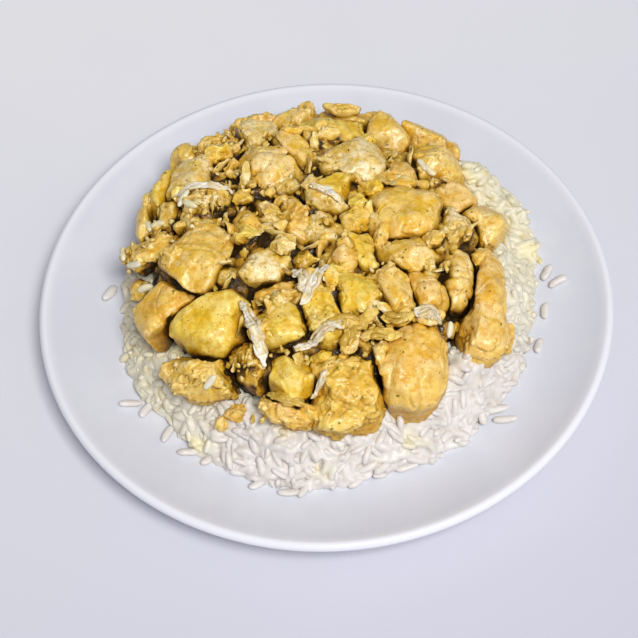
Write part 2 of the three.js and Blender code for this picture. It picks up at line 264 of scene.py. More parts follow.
def joined_mesh(name, parts):
    """parts are (points, faces) pairs in millimetres"""
    points = []
    faces = []
    first = 0
    for part_points, part_faces in parts:
        points.append(part_points)
        faces.extend([[index + first for index in face] for face in part_faces])
        first += len(part_points)
    return mesh_from(name, np.concatenate(points), faces)


def faces_of(mesh):
    return [list(face.vertices) for face in mesh.polygons]


def faces_round(rings, sides):
    """Faces of a closed skin: a point, ring after ring of points, and a last point."""
    faces = []
    for side in range(sides):
        after = (side + 1) % sides
        faces.append((0, 1 + after, 1 + side))
        for low in range(1, 1 + (rings - 1) * sides, sides):
            faces.append((low + side, low + after, low + sides + after, low + sides + side))
        low = 1 + (rings - 1) * sides
        faces.append((low + side, low + after, low + sides))
    return faces


def welded_copy(node, name):
    """A CAD node's mesh is loose triangles: this copy of it has them joined."""
    mesh = frame["nodes"][node].data.copy()
    mesh.name = name
    mesh.materials.clear()
    work = bmesh.new()
    work.from_mesh(mesh)
    bmesh.ops.remove_doubles(work, verts=work.verts, dist=0.02 * MM)
    work.to_mesh(mesh)
    work.free()
    return mesh


def evaluated_mesh(thing, name):
    """The object's mesh with its modifiers applied, and the object removed."""
    bpy.context.view_layer.update()
    graph = bpy.context.evaluated_depsgraph_get()
    mesh = bpy.data.meshes.new_from_object(thing.evaluated_get(graph), depsgraph=graph)
    mesh.name = name
    old = thing.data
    bpy.data.objects.remove(thing)
    bpy.data.meshes.remove(old)
    return mesh


def even_skin(mesh, name, cell, rounding, kept=1.0):
    """The same shape with an even skin of small faces and rounded edges; kept is the share of faces kept."""
    work = new_object(name, mesh)
    remesh = work.modifiers.new("even", "REMESH")
    remesh.mode = "VOXEL"
    remesh.voxel_size = cell * MM
    soften = work.modifiers.new("soften", "SMOOTH")
    soften.factor = 0.5
    soften.iterations = rounding
    if kept < 1:
        thin = work.modifiers.new("thin", "DECIMATE")
        thin.ratio = kept
    return evaluated_mesh(work, name)


def standing_out(mesh, points, passes):
    """How far each point stands out from the skin around it: edges are above 0, creases below."""
    ends = np.empty(len(mesh.edges) * 2, np.int32)
    mesh.edges.foreach_get("vertices", ends)
    first, second = ends[0::2], ends[1::2]
    count = len(points)
    share = np.bincount(ends, minlength=count)[:, None]
    calm = points
    for _ in range(passes):
        calm = np.stack([
            np.bincount(first, calm[second, axis], count) + np.bincount(second, calm[first, axis], count)
            for axis in range(3)
        ], axis=1) / share
    return np.einsum("ij,ij->i", points - calm, mesh_normals(mesh))


def add_piece(name, mesh, finish, slot, replaced=()):
    """Makes the mesh a piece of the part, with its finish, and in place of what it replaces."""
    smooth_shaded(mesh)
    mesh.materials.clear()
    mesh.materials.append(material(finish))
    thing = new_object(name, mesh)
    if slot != "glaze":
        FOOD_PIECES.add(thing.name)
    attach(thing, "root")
    if replaced:
        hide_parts(*replaced)


# ---------------------------------------------------------------- material helpers

def linear(colour):
    """sRGB hex to linear RGBA"""
    parts = [int(colour[i:i + 2], 16) / 255 for i in (1, 3, 5)]
    return [c / 12.92 if c <= 0.04045 else ((c + 0.055) / 1.055) ** 2.4 for c in parts] + [1.0]


def add_node(tree, kind, inputs=None, **settings):
    """Adds a node, sets its settings, and gives each input a value or a link."""
    made = tree.nodes.new(kind)
    for key, value in settings.items():
        setattr(made, key, value)
    for key, value in (inputs or {}).items():
        socket = made.inputs[key]
        if isinstance(value, bpy.types.NodeSocket):
            tree.links.new(value, socket)
        else:
            socket.default_value = value
    return made


def per_metre(size_mm):
    """Texture scale that makes one lump of the pattern this wide"""
    return 1.0 / (size_mm * MM)


def new_finish(name):
    """A material with an empty tree, and where its patterns are read from."""
    made = bpy.data.materials.new(name)
    made.use_nodes = True
    made.node_tree.nodes.clear()
    return made.node_tree, add_node(made.node_tree, "ShaderNodeTexCoord").outputs["Object"]


def end_finish(tree, under_skin=None, **inputs):
    """Closes a finish with its shader; under_skin is how far each colour of light travels inside."""
    shader = add_node(tree, "ShaderNodeBsdfPrincipled", {
        key.replace("_", " "): value for key, value in inputs.items()
    })
    if under_skin:
        shader.inputs["Subsurface Radius"].default_value = under_skin
    add_node(tree, "ShaderNodeOutputMaterial", {"Surface": shader.outputs["BSDF"]})
    return next(made for made in bpy.data.materials if made.node_tree == tree)


def patches(tree, place, under, colour, size_mm, low, high, amount, mark_name=None):
    """Lays patches of a colour, each about this wide, over the colour beneath them. The amount
    follows a mark on the mesh where one is named."""
    cloud = add_node(tree, "ShaderNodeTexNoise", {
        "Vector": place, "Scale": per_metre(size_mm), "Detail": 3.0, "Roughness": 0.58,
        "Distortion": 0.4,
    })
    mask = add_node(tree, "ShaderNodeMapRange", {
        "Value": cloud.outputs["Fac"], "From Min": low, "From Max": high, "To Max": amount,
    }, interpolation_type="SMOOTHSTEP").outputs["Result"]
    if mark_name:
        marked = add_node(tree, "ShaderNodeAttribute", attribute_name=mark_name).outputs["Fac"]
        mask = add_node(tree, "ShaderNodeMath", {0: mask, 1: marked}, operation="MULTIPLY").outputs[0]
    return add_node(tree, "ShaderNodeMix", {
        0: mask, 6: under, 7: linear(colour),
    }, data_type="RGBA").outputs[2]


def where_marked(tree, under, colour, mark_name, low, high, amount, blend="MIX"):
    """Lays a colour over the one beneath wherever the mesh is marked from low to high."""
    marked = add_node(tree, "ShaderNodeAttribute", attribute_name=mark_name)
    mask = add_node(tree, "ShaderNodeMapRange", {
        "Value": marked.outputs["Fac"], "From Min": low, "From Max": high, "To Max": amount,
    }, interpolation_type="SMOOTHSTEP")
    return add_node(tree, "ShaderNodeMix", {
        0: mask.outputs["Result"], 6: under, 7: linear(colour),
    }, data_type="RGBA", blend_type=blend).outputs[2]


def ground_pepper(tree, place, under, colour, apart_mm, width_mm, share):
    """Sprinkles ragged specks of ground spice over the colour beneath; share is how many places hold one."""
    ragged = add_node(tree, "ShaderNodeTexNoise", {
        "Vector": place, "Scale": per_metre(0.7 * width_mm), "Detail": 1.0,
    })
    shifted = add_node(tree, "ShaderNodeVectorMath", {
        0: ragged.outputs["Color"], 1: (1.3 * width_mm * MM,) * 3, 2: place,
    }, operation="MULTIPLY_ADD")
    cells = add_node(tree, "ShaderNodeTexVoronoi", {
        "Vector": shifted.outputs["Vector"], "Scale": per_metre(apart_mm),
    })
    pick = add_node(tree, "ShaderNodeSeparateColor", {"Color": cells.outputs["Color"]})
    reach = 0.5 * width_mm / apart_mm
    size = add_node(tree, "ShaderNodeMapRange", {
        "Value": pick.outputs["Green"], "To Min": 0.35 * reach, "To Max": 1.4 * reach,
    })
    speck = add_node(tree, "ShaderNodeMath", {
        0: cells.outputs["Distance"], 1: size.outputs["Result"],
    }, operation="LESS_THAN")
    chosen = add_node(tree, "ShaderNodeMath", {0: pick.outputs["Red"], 1: share}, operation="LESS_THAN")
    mask = add_node(tree, "ShaderNodeMath", {
        0: speck.outputs[0], 1: chosen.outputs[0],
    }, operation="MULTIPLY")
    return add_node(tree, "ShaderNodeMix", {
        0: mask.outputs[0], 6: under, 7: linear(colour),
    }, data_type="RGBA").outputs[2]


def fine_relief(tree, place, size_mm, depth_mm, under=None, detail=3.0):
    """Roughens a surface with grain this wide and deep, over any coarser grain already there."""
    cloud = add_node(tree, "ShaderNodeTexNoise", {
        "Vector": place, "Scale": per_metre(size_mm), "Detail": detail, "Roughness": 0.6,
    })
    inputs = {"Height": cloud.outputs["Fac"], "Distance": depth_mm * MM, "Strength": 1.0}
    if under is not None:
        inputs["Normal"] = under
    return add_node(tree, "ShaderNodeBump", inputs).outputs["Normal"]


def wet_and_dry(tree, place, size_mm, wet, dry):
    """Roughness that wanders between a wet and a dry value"""
    cloud = add_node(tree, "ShaderNodeTexNoise", {
        "Vector": place, "Scale": per_metre(size_mm), "Detail": 3.0,
    })
    return add_node(tree, "ShaderNodeMapRange", {
        "Value": cloud.outputs["Fac"], "From Min": 0.35, "From Max": 0.65, "To Min": wet, "To Max": dry,
    }).outputs["Result"]


def gap_shade(tree, under):
    """Painted shade: the colour turns richer, then dark, the deeper a place lies in the gaps between pieces.
    """
    colour = where_marked(tree, under, "#e0d27c", "deep", 0.06, 0.40, 0.90, "MULTIPLY")
    colour = where_marked(tree, colour, "#ac923a", "deep", 0.30, 0.70, 0.94, "MULTIPLY")
    return where_marked(tree, colour, "#201605", "deep", 0.56, 0.86, 0.92)


# ---------------------------------------------------------------- finishes

def turmeric_chicken(name, coat, light, rich, bare):
    """Chicken cooked in turmeric sauce: pale meat under a moist yellow film, richer yellow where the film is
    thick, ochre where spice has caught on torn edges, with black specks of pepper. Creases and gaps are
    darkened with painted shade, and raised tops made paler, partly sauce drained off and partly painted
    light."""
    tree, place = new_finish(name)
    colour = linear(coat)
    for layer in (
        (light, 9.0, 0.40, 0.62, 0.85), (rich, 5.5, 0.50, 0.63, 0.85),
        (bare, 8.0, 0.40, 0.56, 0.95, "bare"), ("#b88c24", 2.8, 0.50, 0.66, 0.60, "torn"),
        ("#faecbe", 2.2, 0.54, 0.66, 0.65, "torn"), ("#bc9c2a", 4.5, 0.52, 0.66, 0.42),
        (rich, 2.2, 0.50, 0.62, 0.65), ("#ad8a28", 1.3, 0.58, 0.68, 0.35),
    ):
        colour = patches(tree, place, colour, *layer)
    # Paler where a piece stands above the food around it: partly sauce drained off, partly painted light on
    # the tops
    colour = where_marked(tree, colour, light, "proud", 0.2, 1.0, 0.55)
    colour = patches(tree, place, colour, "#c08c28", 2.6, 0.50, 0.66, 0.50, "edge")
    colour = patches(tree, place, colour, bare, 3.4, 0.48, 0.62, 0.90, "edge")
    # Painted shade: darker ochre in the creases
    colour = where_marked(tree, colour, "#b0871c", "cavity", 0.15, 1.0, 0.66)
    for specks in (("#8c8228", 3.4, 1.1, 0.30), ("#33220a", 2.7, 0.60, 0.26), ("#8a661c", 1.5, 0.45, 0.34)):
        colour = ground_pepper(tree, place, colour, *specks)
    colour = gap_shade(tree, colour)
    bump = fine_relief(tree, place, 3.0, 0.50)
    bump = fine_relief(tree, place, 0.9, 0.15, bump)
    return end_finish(
        tree, (1.0, 0.7, 0.25), Base_Color=colour, Roughness=wet_and_dry(tree, place, 4.0, 0.26, 0.56),
        IOR=1.42, Subsurface_Weight=0.15, Subsurface_Scale=1.5 * MM, Coat_Weight=0.30, Coat_Roughness=0.16,
        Normal=bump)


def crumbled_chicken():
    """Broken meat soaked in thick sauce: yellow-tan crumbs with paler broken faces."""
    tree, place = new_finish("sauce_soaked_crumbled_chicken")
    colour = linear("#e0b948")
    for layer in (
        ("#f0d88c", 3.2, 0.42, 0.60, 0.9), ("#cfa424", 6.0, 0.46, 0.60, 0.7),
        ("#ad862a", 3.6, 0.54, 0.68, 0.6), ("#f8ecc6", 2.2, 0.52, 0.64, 0.8),
        ("#94701f", 1.2, 0.56, 0.70, 0.5),
    ):
        colour = patches(tree, place, colour, *layer)
    # Painted shade: dark brown in the creases
    colour = where_marked(tree, colour, "#7c5a16", "cavity", 0.15, 1.0, 0.75)
    colour = gap_shade(tree, colour)
    bump = fine_relief(tree, place, 1.6, 0.50)
    bump = fine_relief(tree, place, 0.6, 0.25, bump)
    return end_finish(
        tree, (1.0, 0.50, 0.15), Base_Color=colour, Roughness=wet_and_dry(tree, place, 2.5, 0.32, 0.62),
        IOR=1.40, Subsurface_Weight=0.12, Subsurface_Scale=1.2 * MM, Coat_Weight=0.20, Coat_Roughness=0.22,
        Normal=bump)


def pale_shredded_meat():
    """Breast meat pulled into strings: nearly white fibres with a little yellow sauce, and darker yellow
    painted shade in the creases between them.
    """
    tree, place = new_finish("pale_shredded_chicken")
    colour = patches(tree, place, linear("#faf1de"), "#f0dca6", 3.4, 0.46, 0.62, 0.9)
    colour = patches(tree, place, colour, "#dcb85a", 2.2, 0.56, 0.68, 0.75)
    # Painted shade: darker yellow in the creases between fibres
    colour = where_marked(tree, colour, "#c9a456", "cavity", 0.4, 1.0, 0.55)
    colour = gap_shade(tree, colour)
    bump = fine_relief(tree, place, 0.7, 0.18)
    return end_finish(
        tree, (1.0, 0.7, 0.4), Base_Color=colour, Roughness=0.42, IOR=1.40, Subsurface_Weight=0.3,
        Subsurface_Scale=1.8 * MM, Coat_Weight=0.12, Coat_Roughness=0.25, Normal=bump)


def cooked_rice():
    """Cooked jasmine rice: soft white starch that lets light through, stained where sauce reaches it."""
    tree, place = new_finish("cooked_jasmine_rice")
    colour = patches(tree, place, linear("#e1dcd7"), "#d8d1c9", 5.0, 0.42, 0.62, 0.9)
    # Painted shade: greyer beige in the hollows between grains
    colour = where_marked(tree, colour, "#dcd3c2", "cavity", 0.15, 1.0, 0.50, "MULTIPLY")
    colour = patches(tree, place, colour, "#eee6b4", 9.0, 0.10, 0.30, 1.0, "sauce")
    colour = patches(tree, place, colour, "#e0c06a", 6.0, 0.50, 0.68, 0.8, "sauce")
    colour = ground_pepper(tree, place, colour, "#4a3a20", 5.0, 0.7, 0.10)
    bump = fine_relief(tree, place, 1.3, 0.10)
    return end_finish(
        tree, (1.0, 0.93, 0.84), Base_Color=colour, Roughness=0.40, IOR=1.38, Subsurface_Weight=0.3,
        Subsurface_Scale=1.6 * MM, Coat_Weight=0.10, Coat_Roughness=0.25, Normal=bump)


def white_glaze():
    """Fired white glaze over stoneware: a hard clear gloss on an even white body, with a painted highlight
    that makes the lip whiter.
    """
    tree, place = new_finish("glazed_white_stoneware")
    colour = patches(tree, place, linear("#dee0e8"), "#dadce5", 40.0, 0.40, 0.60, 1.0)
    # Painted highlight: the lip is whiter than the body, standing in for the light it catches
    colour = where_marked(tree, colour, "#ebebf1", "lip", 0.0, 1.0, 1.0)
    bump = fine_relief(tree, place, 9.0, 0.03, detail=1.0)
    return end_finish(tree, Base_Color=colour, Roughness=0.16, IOR=1.52, Normal=bump)


def pale_table():
    """Honed pale stone table top: matt, slightly cool, with painted light that makes it lighter towards its
    far left.
    """
    tree, place = new_finish("honed_pale_stone")
    # Painted light: darker towards the front right, white towards the far left
    towards_far_left = add_node(tree, "ShaderNodeVectorMath", {
        0: place, 1: (-0.35, 0.94, 0.0),
    }, operation="DOT_PRODUCT").outputs["Value"]
    far = add_node(tree, "ShaderNodeMapRange", {
        "Value": towards_far_left, "From Min": -300 * MM, "From Max": 300 * MM,
    }).outputs["Result"]
    colour = add_node(tree, "ShaderNodeMix", {
        0: far, 6: linear("#b8b8c9"), 7: linear("#ffffff"),
    }, data_type="RGBA").outputs[2]
    colour = patches(tree, place, colour, "#dcdbe9", 150.0, 0.40, 0.70, 0.10)
    return end_finish(tree, Base_Color=colour, Roughness=0.5, IOR=1.45)


# How each finish is made: its function, and what the function is given
FINISHES = {
    "chicken_golden": (
        turmeric_chicken, "golden_turmeric_chicken", "#ecbd38", "#f7d672", "#e0a816", "#fae1a2"),
    "chicken_yellow": (
        turmeric_chicken, "yellow_turmeric_chicken", "#edc12e", "#f7da62", "#e4b00c", "#f9e592"),
    "chicken_orange": (
        turmeric_chicken, "orange_gold_turmeric_chicken", "#ebb63a", "#f6d06c", "#dda11c", "#f9dc9c"),
    "chicken_pale": (
        turmeric_chicken, "pale_turmeric_chicken", "#edc75e", "#f7df94", "#e0b030", "#fbebbc"),
    "crumbled_chicken": (crumbled_chicken,),
    "shreds": (pale_shredded_meat,),
    "rice": (cooked_rice,),
    "glaze": (white_glaze,),
}
MADE = {}


def material(name):
    """Each finish is made once, the first time that it is asked for."""
    if name not in MADE:
        maker, *given = FINISHES[name]
        MADE[name] = maker(*given)
    return MADE[name]


# ---------------------------------------------------------------- chicken

# How torn each piece is: 0 is a smooth cut lump, 1 is pulled apart along its fibres
TORN = {
    "rough_front": 1.0, "crumbly_left": 1.0, "crumbly_back_left": 0.9, "front_left_low": 0.8,
    "small_front_left": 0.8, "strip_front": 0.8, "mottled_right": 0.7, "mottled_front": 0.6,
    "large_left": 0.5, "lumpy_back_left": 0.7, "orange_lumps": 0.8, "wide_centre_right": 0.6,
    "edge_left": 0.7, "strip_back_left": 0.6, "curled_centre": 0.5, "irregular_right": 0.5,
    "block_centre_right": 0.35, "ribbed_back": 0.4, "large_right_back": 0.45, "pentagon_front": 0.15,
    "bright_front_left": 0.15, "large_front_left": 0.2, "large_front_right": 0.25, "slab_left_back": 0.1,
    "bean_right": 0.1, "curved_right": 0.2, "almond_left": 0.3, "large_centre_back": 0.25,
}
USUAL_TEAR = 0.4

# How much paler meat shows through the sauce; rough_front shows none, which also darkens it as painted shade
BARE = {
    "slab_left_back": 0.5, "rough_front": 0.0, "large_front_left": 0.1, "crumbly_left": 1.0,
    "large_back_left": 0.8, "large_centre_back": 0.8, "mottled_right": 0.9, "mottled_front": 0.7,
    "curved_right": 0.9, "bean_right": 0.5, "long_right": 0.6, "round_right": 0.5,
    "pale_centre": 0.9, "flake_centre": 0.8, "cube_centre_left": 0.9, "small_tan_centre": 0.7,
    "rounded_back_left": 0.7, "large_front_right": 0.35, "block_centre_right": 0.3,
    "small_right": 0.6, "irregular_right": 0.5, "lumpy_front": 0.5,
}
USUAL_BARE = 0.35

# How deeply the knife's flat cuts pare each piece, as a share of its reach
CUT = {
    "slab_left_back": 0.08, "pentagon_front": 0.20, "block_centre_right": 0.14, "large_front_right": 0.11,
    "bright_front_left": 0.16, "large_centre_back": 0.20, "wedge_centre": 0.24, "pale_centre": 0.24,
    "cube_centre_left": 0.22, "rough_front": 0.16, "almond_left": 0.10, "round_right": 0.15,
    "small_right": 0.12, "bean_right": 0.12, "tapered_back": 0.10, "round_centre_right": 0.14,
    "curved_right": 0.11, "large_front_left": 0.12, "long_right": 0.12,
}
USUAL_CUT = 0.17

# Grooves where bundles of fibres part: their distance, depth, and whether they run along the piece
GROOVES = {
    "curved_right": (6.0, 1.0, False), "ribbed_back": (5.5, 0.9, False),
    "large_back_left": (11.0, 1.5, False), "long_right": (5.0, 0.9, True),
    "tapered_back": (4.5, 0.6, True), "large_front_left": (13.0, 0.8, False),
    "large_centre_back": (9.0, 0.8, True), "lumpy_front": (8.0, 1.2, True),
    "large_right_back": (8.0, 0.9, False), "bean_right": (7.0, 0.6, True),
    "edge_left": (5.0, 0.8, True), "large_front_right": (12.0, 0.8, True),
}


def grooves(points, seed, apart, depth, lengthwise):
    """How far each point sinks into the nearest groove between bundles of fibres."""
    axes = np.linalg.eigh(np.cov((points - points.mean(axis=0)).T))[1]
    across = axes[:, 1] if lengthwise else axes[:, 2]
    warp = 0.30 * apart * smooth_noise(points, 1.6 * apart, seed)
    warp = warp + 0.08 * apart * smooth_noise(points, 3.0, seed + 1)
    place = ((points @ across + warp) / apart + 0.37) % 1.0
    away = np.minimum(place, 1 - place) * apart
    strength = unit(0.6 + 1.2 * smooth_noise(points, 9.0, seed + 2))
    return depth * strength * np.exp(-(away / 0.9) ** 2)


def cut_facets(points, seed, count, depth, rounding=0.6):
    """Pares an even skin down to flat, soft-edged cuts, as a knife leaves on a chunk of meat."""
    rng = np.random.default_rng(seed)
    middle = points.mean(axis=0)
    stretch, axes = np.linalg.eigh(np.cov((points - middle).T))
    order = np.arange(count) + 0.5
    height = 1 - 2 * order / count
    turn = math.pi * (1 + 5 ** 0.5) * order + rng.uniform(0, 2 * math.pi)
    ring = np.sqrt(1 - height ** 2)
    ways = np.stack([ring * np.cos(turn), ring * np.sin(turn), height], axis=1)
    ways += rng.normal(scale=0.25, size=ways.shape)
    ways = (ways / np.sqrt(stretch)) @ axes.T
    ways /= np.linalg.norm(ways, axis=1)[:, None]
    limit = ((points - middle) @ ways.T).max(axis=0) * (1 - depth * rng.uniform(0.4, 1.5, count))
    for _ in range(4):
        over = (points - middle) @ ways.T - limit
        worst = over.argmax(axis=1)
        most = over[np.arange(len(points)), worst]
        points = points - ways[worst] * (0.5 * (most + np.sqrt(most ** 2 + rounding ** 2)) * 0.8)[:, None]
    return points


def relief_of_meat(points, normals, seed, torn, depth):
    """Moved points of a cooked piece, how deep each lies in a crease, and how torn it is there."""
    rng = np.random.default_rng(seed)
    axis = rng.normal(size=3)
    axis /= np.linalg.norm(axis)
    across = np.linalg.svd(axis[None])[2][1:]
    warp = vector_noise(points, 12.0, seed)
    pulled = points + warp * 1.0 * depth
    broad = (0.45 + 1.3 * torn) * smooth_noise(points, 11.0, seed + 3)
    lumps = layered_noise(points + warp, 6.0, seed + 5, 2)
    folds = 1 - np.abs(smooth_noise(points + 2.5 * warp, 17.0, seed + 9))
    folds = unit((folds - 0.93) / 0.07) * unit(0.4 + smooth_noise(points, 9.0, seed + 13))
    ragged = unit((smooth_noise(points, 8.0, seed + 29) + 1.5 * torn - 0.95) * 2.5)
    tears = 1 - np.abs(layered_noise(points + warp, 4.6, seed + 17, 2))
    tears = unit((tears - 0.74) / 0.26) * ragged
    along = np.stack([points @ axis / 6.0, points @ across[0] / 1.3, points @ across[1] / 1.3], axis=1)
    fibres = smooth_noise(along + 0.3 * warp, 1.0, seed + 23)
    fine = layered_noise(points, 1.8, seed + 37, 2)
    lift = (
        broad
        + (0.36 + 0.85 * ragged) * lumps
        - 0.9 * folds
        - 1.0 * tears
        + (0.08 + 0.42 * ragged) * fibres
        + (0.06 + 0.14 * ragged) * fine
    )
    moved = pulled + normals * (lift * depth)[:, None]
    cavity = 0.5 * folds + 0.6 * tears + ragged * np.clip(-0.5 * lumps, 0, 0.5)
    return moved, unit(cavity), ragged


class Neighbours:
    """Finds how far a piece's skin is from the other pieces, so that it swells only where it is free."""

    def __init__(self, nodes):
        self.trees = {}
        self.boxes = {}
        for node in nodes:
            mesh = welded_copy(node, "outline")
            points = mesh_points(mesh)
            self.trees[node] = BVHTree.FromPolygons(points.tolist(), faces_of(mesh))
            self.boxes[node] = (points.min(axis=0), points.max(axis=0))
            bpy.data.meshes.remove(mesh)

    def room(self, node, points, reach):
        """Free distance in front of each point, up to reach"""
        low, high = self.boxes[node]
        room = np.full(len(points), float(reach))
        for other, tree in self.trees.items():
            other_low, other_high = self.boxes[other]
            if other == node or np.any(other_low > high + reach) or np.any(low > other_high + reach):
                continue
            near = np.all((points > other_low - reach) & (points < other_high + reach), axis=1)
            for index in np.flatnonzero(near):
                distance = tree.find_nearest(Vector(points[index]), reach)[3]
                if distance is not None and distance < room[index]:
                    room[index] = distance
        return room


def facing_out(points, normals):
    """How squarely each point of the heap's rim faces away from its middle, from 0 to 1"""
    rim_start, rim_width = 52, 16
    outward = points[:, :2] - np.array(HEAP_MIDDLE)
    away = np.linalg.norm(outward, axis=1)
    squarely = np.einsum("ij,ij->i", normals[:, :2], outward) / away
    return unit(1.4 * squarely) * unit((away - rim_start) / rim_width)


def chicken_piece(node, index, settings, neighbours):
    """Swells a piece into its free space, cuts it flat as a knife would, and wears and tears its skin."""
    short = node[len("chicken_"):]
    torn = TORN.get(short, USUAL_TEAR)
    rough = even_skin(welded_copy(node, short), short, 1.0, 1)
    points = mesh_points(rough)
    room = neighbours.room(node, points, 4.0)
    swell = settings.fullness / MM * np.clip((room - 0.5) / 3.4, -0.06, 1)
    swell *= 1 - 0.9 * facing_out(points, mesh_normals(rough))
    set_points(rough, points + mesh_normals(rough) * swell[:, None])
    set_points(rough, cut_facets(mesh_points(rough), 300 + index, 10, CUT.get(short, USUAL_CUT), 0.1))
    mesh = even_skin(rough, short, settings.cell / MM, 1)
    points = mesh_points(mesh)
    edge = unit(standing_out(mesh, points, 10) / 0.55)
    frayed = unit(torn + 0.42 * edge)
    moved, cavity, ragged = relief_of_meat(
        points, mesh_normals(mesh), 100 + index, frayed, settings.relief / MM)
    if short in GROOVES:
        moved = moved - mesh_normals(mesh) * grooves(points, 400 + index, *GROOVES[short])[:, None]
    set_points(mesh, moved)
    bumps = standing_out(mesh, moved, 6)
    edge = unit(0.7 * edge + bumps / 0.8)
    # The cavity mark sets where the finish paints shade into creases
    cavity = unit(0.6 * cavity - bumps / 0.7)
    bare = unit(BARE.get(short, USUAL_BARE) + 0.6 * smooth_noise(points, 10.0, 200 + index))
    mark(mesh, cavity=cavity, edge=edge, torn=ragged, bare=bare)
    FOOD.add(moved)
    MEAT.add(moved)
    add_piece(short + "_meat", mesh, SLOTS[node], SLOTS[node], (node,))


# ---------------------------------------------------------------- small pieces

def ball(divisions):
    """Points and faces of an even ball of radius 1"""
    work = bmesh.new()
    bmesh.ops.create_icosphere(work, subdivisions=divisions, radius=1.0)
    points = np.array([vertex.co[:] for vertex in work.verts])
    faces = [[vertex.index for vertex in face.verts] for face in work.faces]
    work.free()
    return points, faces


def laid_on_food(points, x, y, turn, lift):
    """Turns a small thing made flat at the origin, and lays it on the food at a place."""
    up = FOOD.slope(x, y)
    along = Vector((math.cos(math.radians(turn)), math.sin(math.radians(turn)), 0))
    across = up.cross(along).normalized()
    frame_axes = np.array([across.cross(up)[:], across[:], up[:]])
    width = 0.7 * float(np.ptp(points[:, 1]))
    height = float(FOOD.under(x, y, width))
    return points @ frame_axes + np.array([x, y, height + lift])


def torn_lump(size, seed, cut=0.20, tear=0.8, divisions=5):
    """A small torn piece of meat, made flat at the origin."""
    points, faces = ball(divisions)
    points = points * np.array(size) / 2
    points = cut_facets(points, seed, 8, cut, 0.12)
    small = min(size)
    points = points + vector_noise(points, 0.8 * small, seed) * 0.20 * small
    points = points + vector_noise(points, 3.2, seed + 3) * 0.95 * tear
    points = points + vector_noise(points, 1.5, seed + 7) * 0.40 * tear
    return points, faces


def fibre(path, radius, seed, sides=7, flat=0.75):
    """A string of meat along a path, thick in the middle and thin at its ends."""
    path = np.asarray(path, float)
    count = len(path)
    ahead = np.gradient(path, axis=0)
    ahead /= np.linalg.norm(ahead, axis=1)[:, None]
    side = np.cross(ahead, [0, 0, 1.0])
    side /= np.linalg.norm(side, axis=1)[:, None]
    above = np.cross(side, ahead)
    share = np.linspace(0, 1, count)
    girth = radius * np.clip(np.sin(np.pi * np.clip(share, 0.03, 0.97)) ** 0.35, 0.15, 1)
    girth = girth * (1 + 0.45 * smooth_noise(path, 2.5, seed))
    points = [path[0]]
    for place, right, up, thick in zip(path, side, above, girth):
        for step in range(sides):
            angle = 2 * math.pi * step / sides
            points.append(place + thick * (math.cos(angle) * right + flat * math.sin(angle) * up))
    points.append(path[-1])
    return np.array(points), faces_round(count, sides)


def pulled_strip(corners, width, lift, seed, threads=5, bow=0.0):
    """A strip of meat pulled into threads, draped over the food along a line of places."""
    corners = np.asarray(corners, float)
    lengths = np.r_[0, np.cumsum(np.hypot(*np.diff(corners, axis=0).T))]
    count = max(16, int(lengths[-1] / 0.6))
    steps = np.linspace(0, lengths[-1], count)
    x = np.interp(steps, lengths, corners[:, 0])
    y = np.interp(steps, lengths, corners[:, 1])
    for _ in range(6):
        x[1:-1] = (x[:-2] + 2 * x[1:-1] + x[2:]) / 4
        y[1:-1] = (y[:-2] + 2 * y[1:-1] + y[2:]) / 4
    z = FOOD.under(x, y, width + 2)
    for _ in range(8):
        z[1:-1] = np.maximum(z[1:-1] * 0.4, 0) + 0.6 * (z[:-2] + 2 * z[1:-1] + z[2:]) / 4
    share = steps / lengths[-1]
    z = z + lift + bow * np.sin(np.pi * share)
    ahead = np.stack([np.gradient(x), np.gradient(y)], axis=1)
    ahead /= np.linalg.norm(ahead, axis=1)[:, None]
    across = np.stack([-ahead[:, 1], ahead[:, 0], np.zeros(count)], axis=1)
    centre = np.stack([x, y, z], axis=1)
    rng = np.random.default_rng(seed)
    body, faces = fibre(centre, 0.5 * width, seed, 22, 0.40)
    body = body + vector_noise(body, 3.4, seed + 1) * 1.1 + vector_noise(body, 1.3, seed + 2) * 0.36
    parts = [(body, faces)]
    for thread in range(threads):
        offset = ((thread + 0.5) / threads - 0.5) * width
        taper = np.sin(np.pi * np.clip(share, 0.25, 0.75)) ** 0.6
        wander = vector_noise(centre, 5.0, seed + 7 * thread) * 0.9
        line = centre + across * (offset * taper)[:, None] + wander
        first = int(rng.integers(0, max(1, count // 3)))
        last = count - int(rng.integers(0, max(1, count // 3)))
        radius = 0.7 * width / threads * rng.uniform(0.50, 1.15)
        line[:, 2] += rng.uniform(0.2, 0.9)
        parts.append(fibre(line[first:last], radius, seed + 17 * thread))
    return parts


# ---------------------------------------------------------------- scattering

def rice_grain(length, width, bend, sides=8, rings=6):
    """Points and faces of one grain of rice: a slim, slightly bowed and flattened spindle."""
    points = [(-length / 2, 0, 0)]
    for ring in range(rings):
        along = -math.cos(math.pi * (ring + 1) / (rings + 1))
        radius = 0.5 * width * (1 - abs(along) ** 3.4) ** 0.5
        for side in range(sides):
            angle = 2 * math.pi * side / sides
            points.append((0.5 * length * along, radius * math.cos(angle), 0.85 * radius * math.sin(angle)))
    points.append((length / 2, 0, 0))
    points = np.array(points)
    points[:, 1] += bend * (1 - (2 * points[:, 0] / length) ** 2)
    return points, faces_round(rings, sides)


def meat_crumb(seed, stretch, divisions):
    """Points and faces of one crumb of meat about 2 mm across: a knobbly torn lump."""
    points, faces = ball(divisions)
    points = points * np.array(stretch)
    points = cut_facets(points, seed, 8, 0.22, 0.06)
    points = points + vector_noise(points, 1.2, seed) * 0.34
    points = points + points * (0.30 * smooth_noise(points, 0.7, seed + 5))[:, None]
    return points, faces


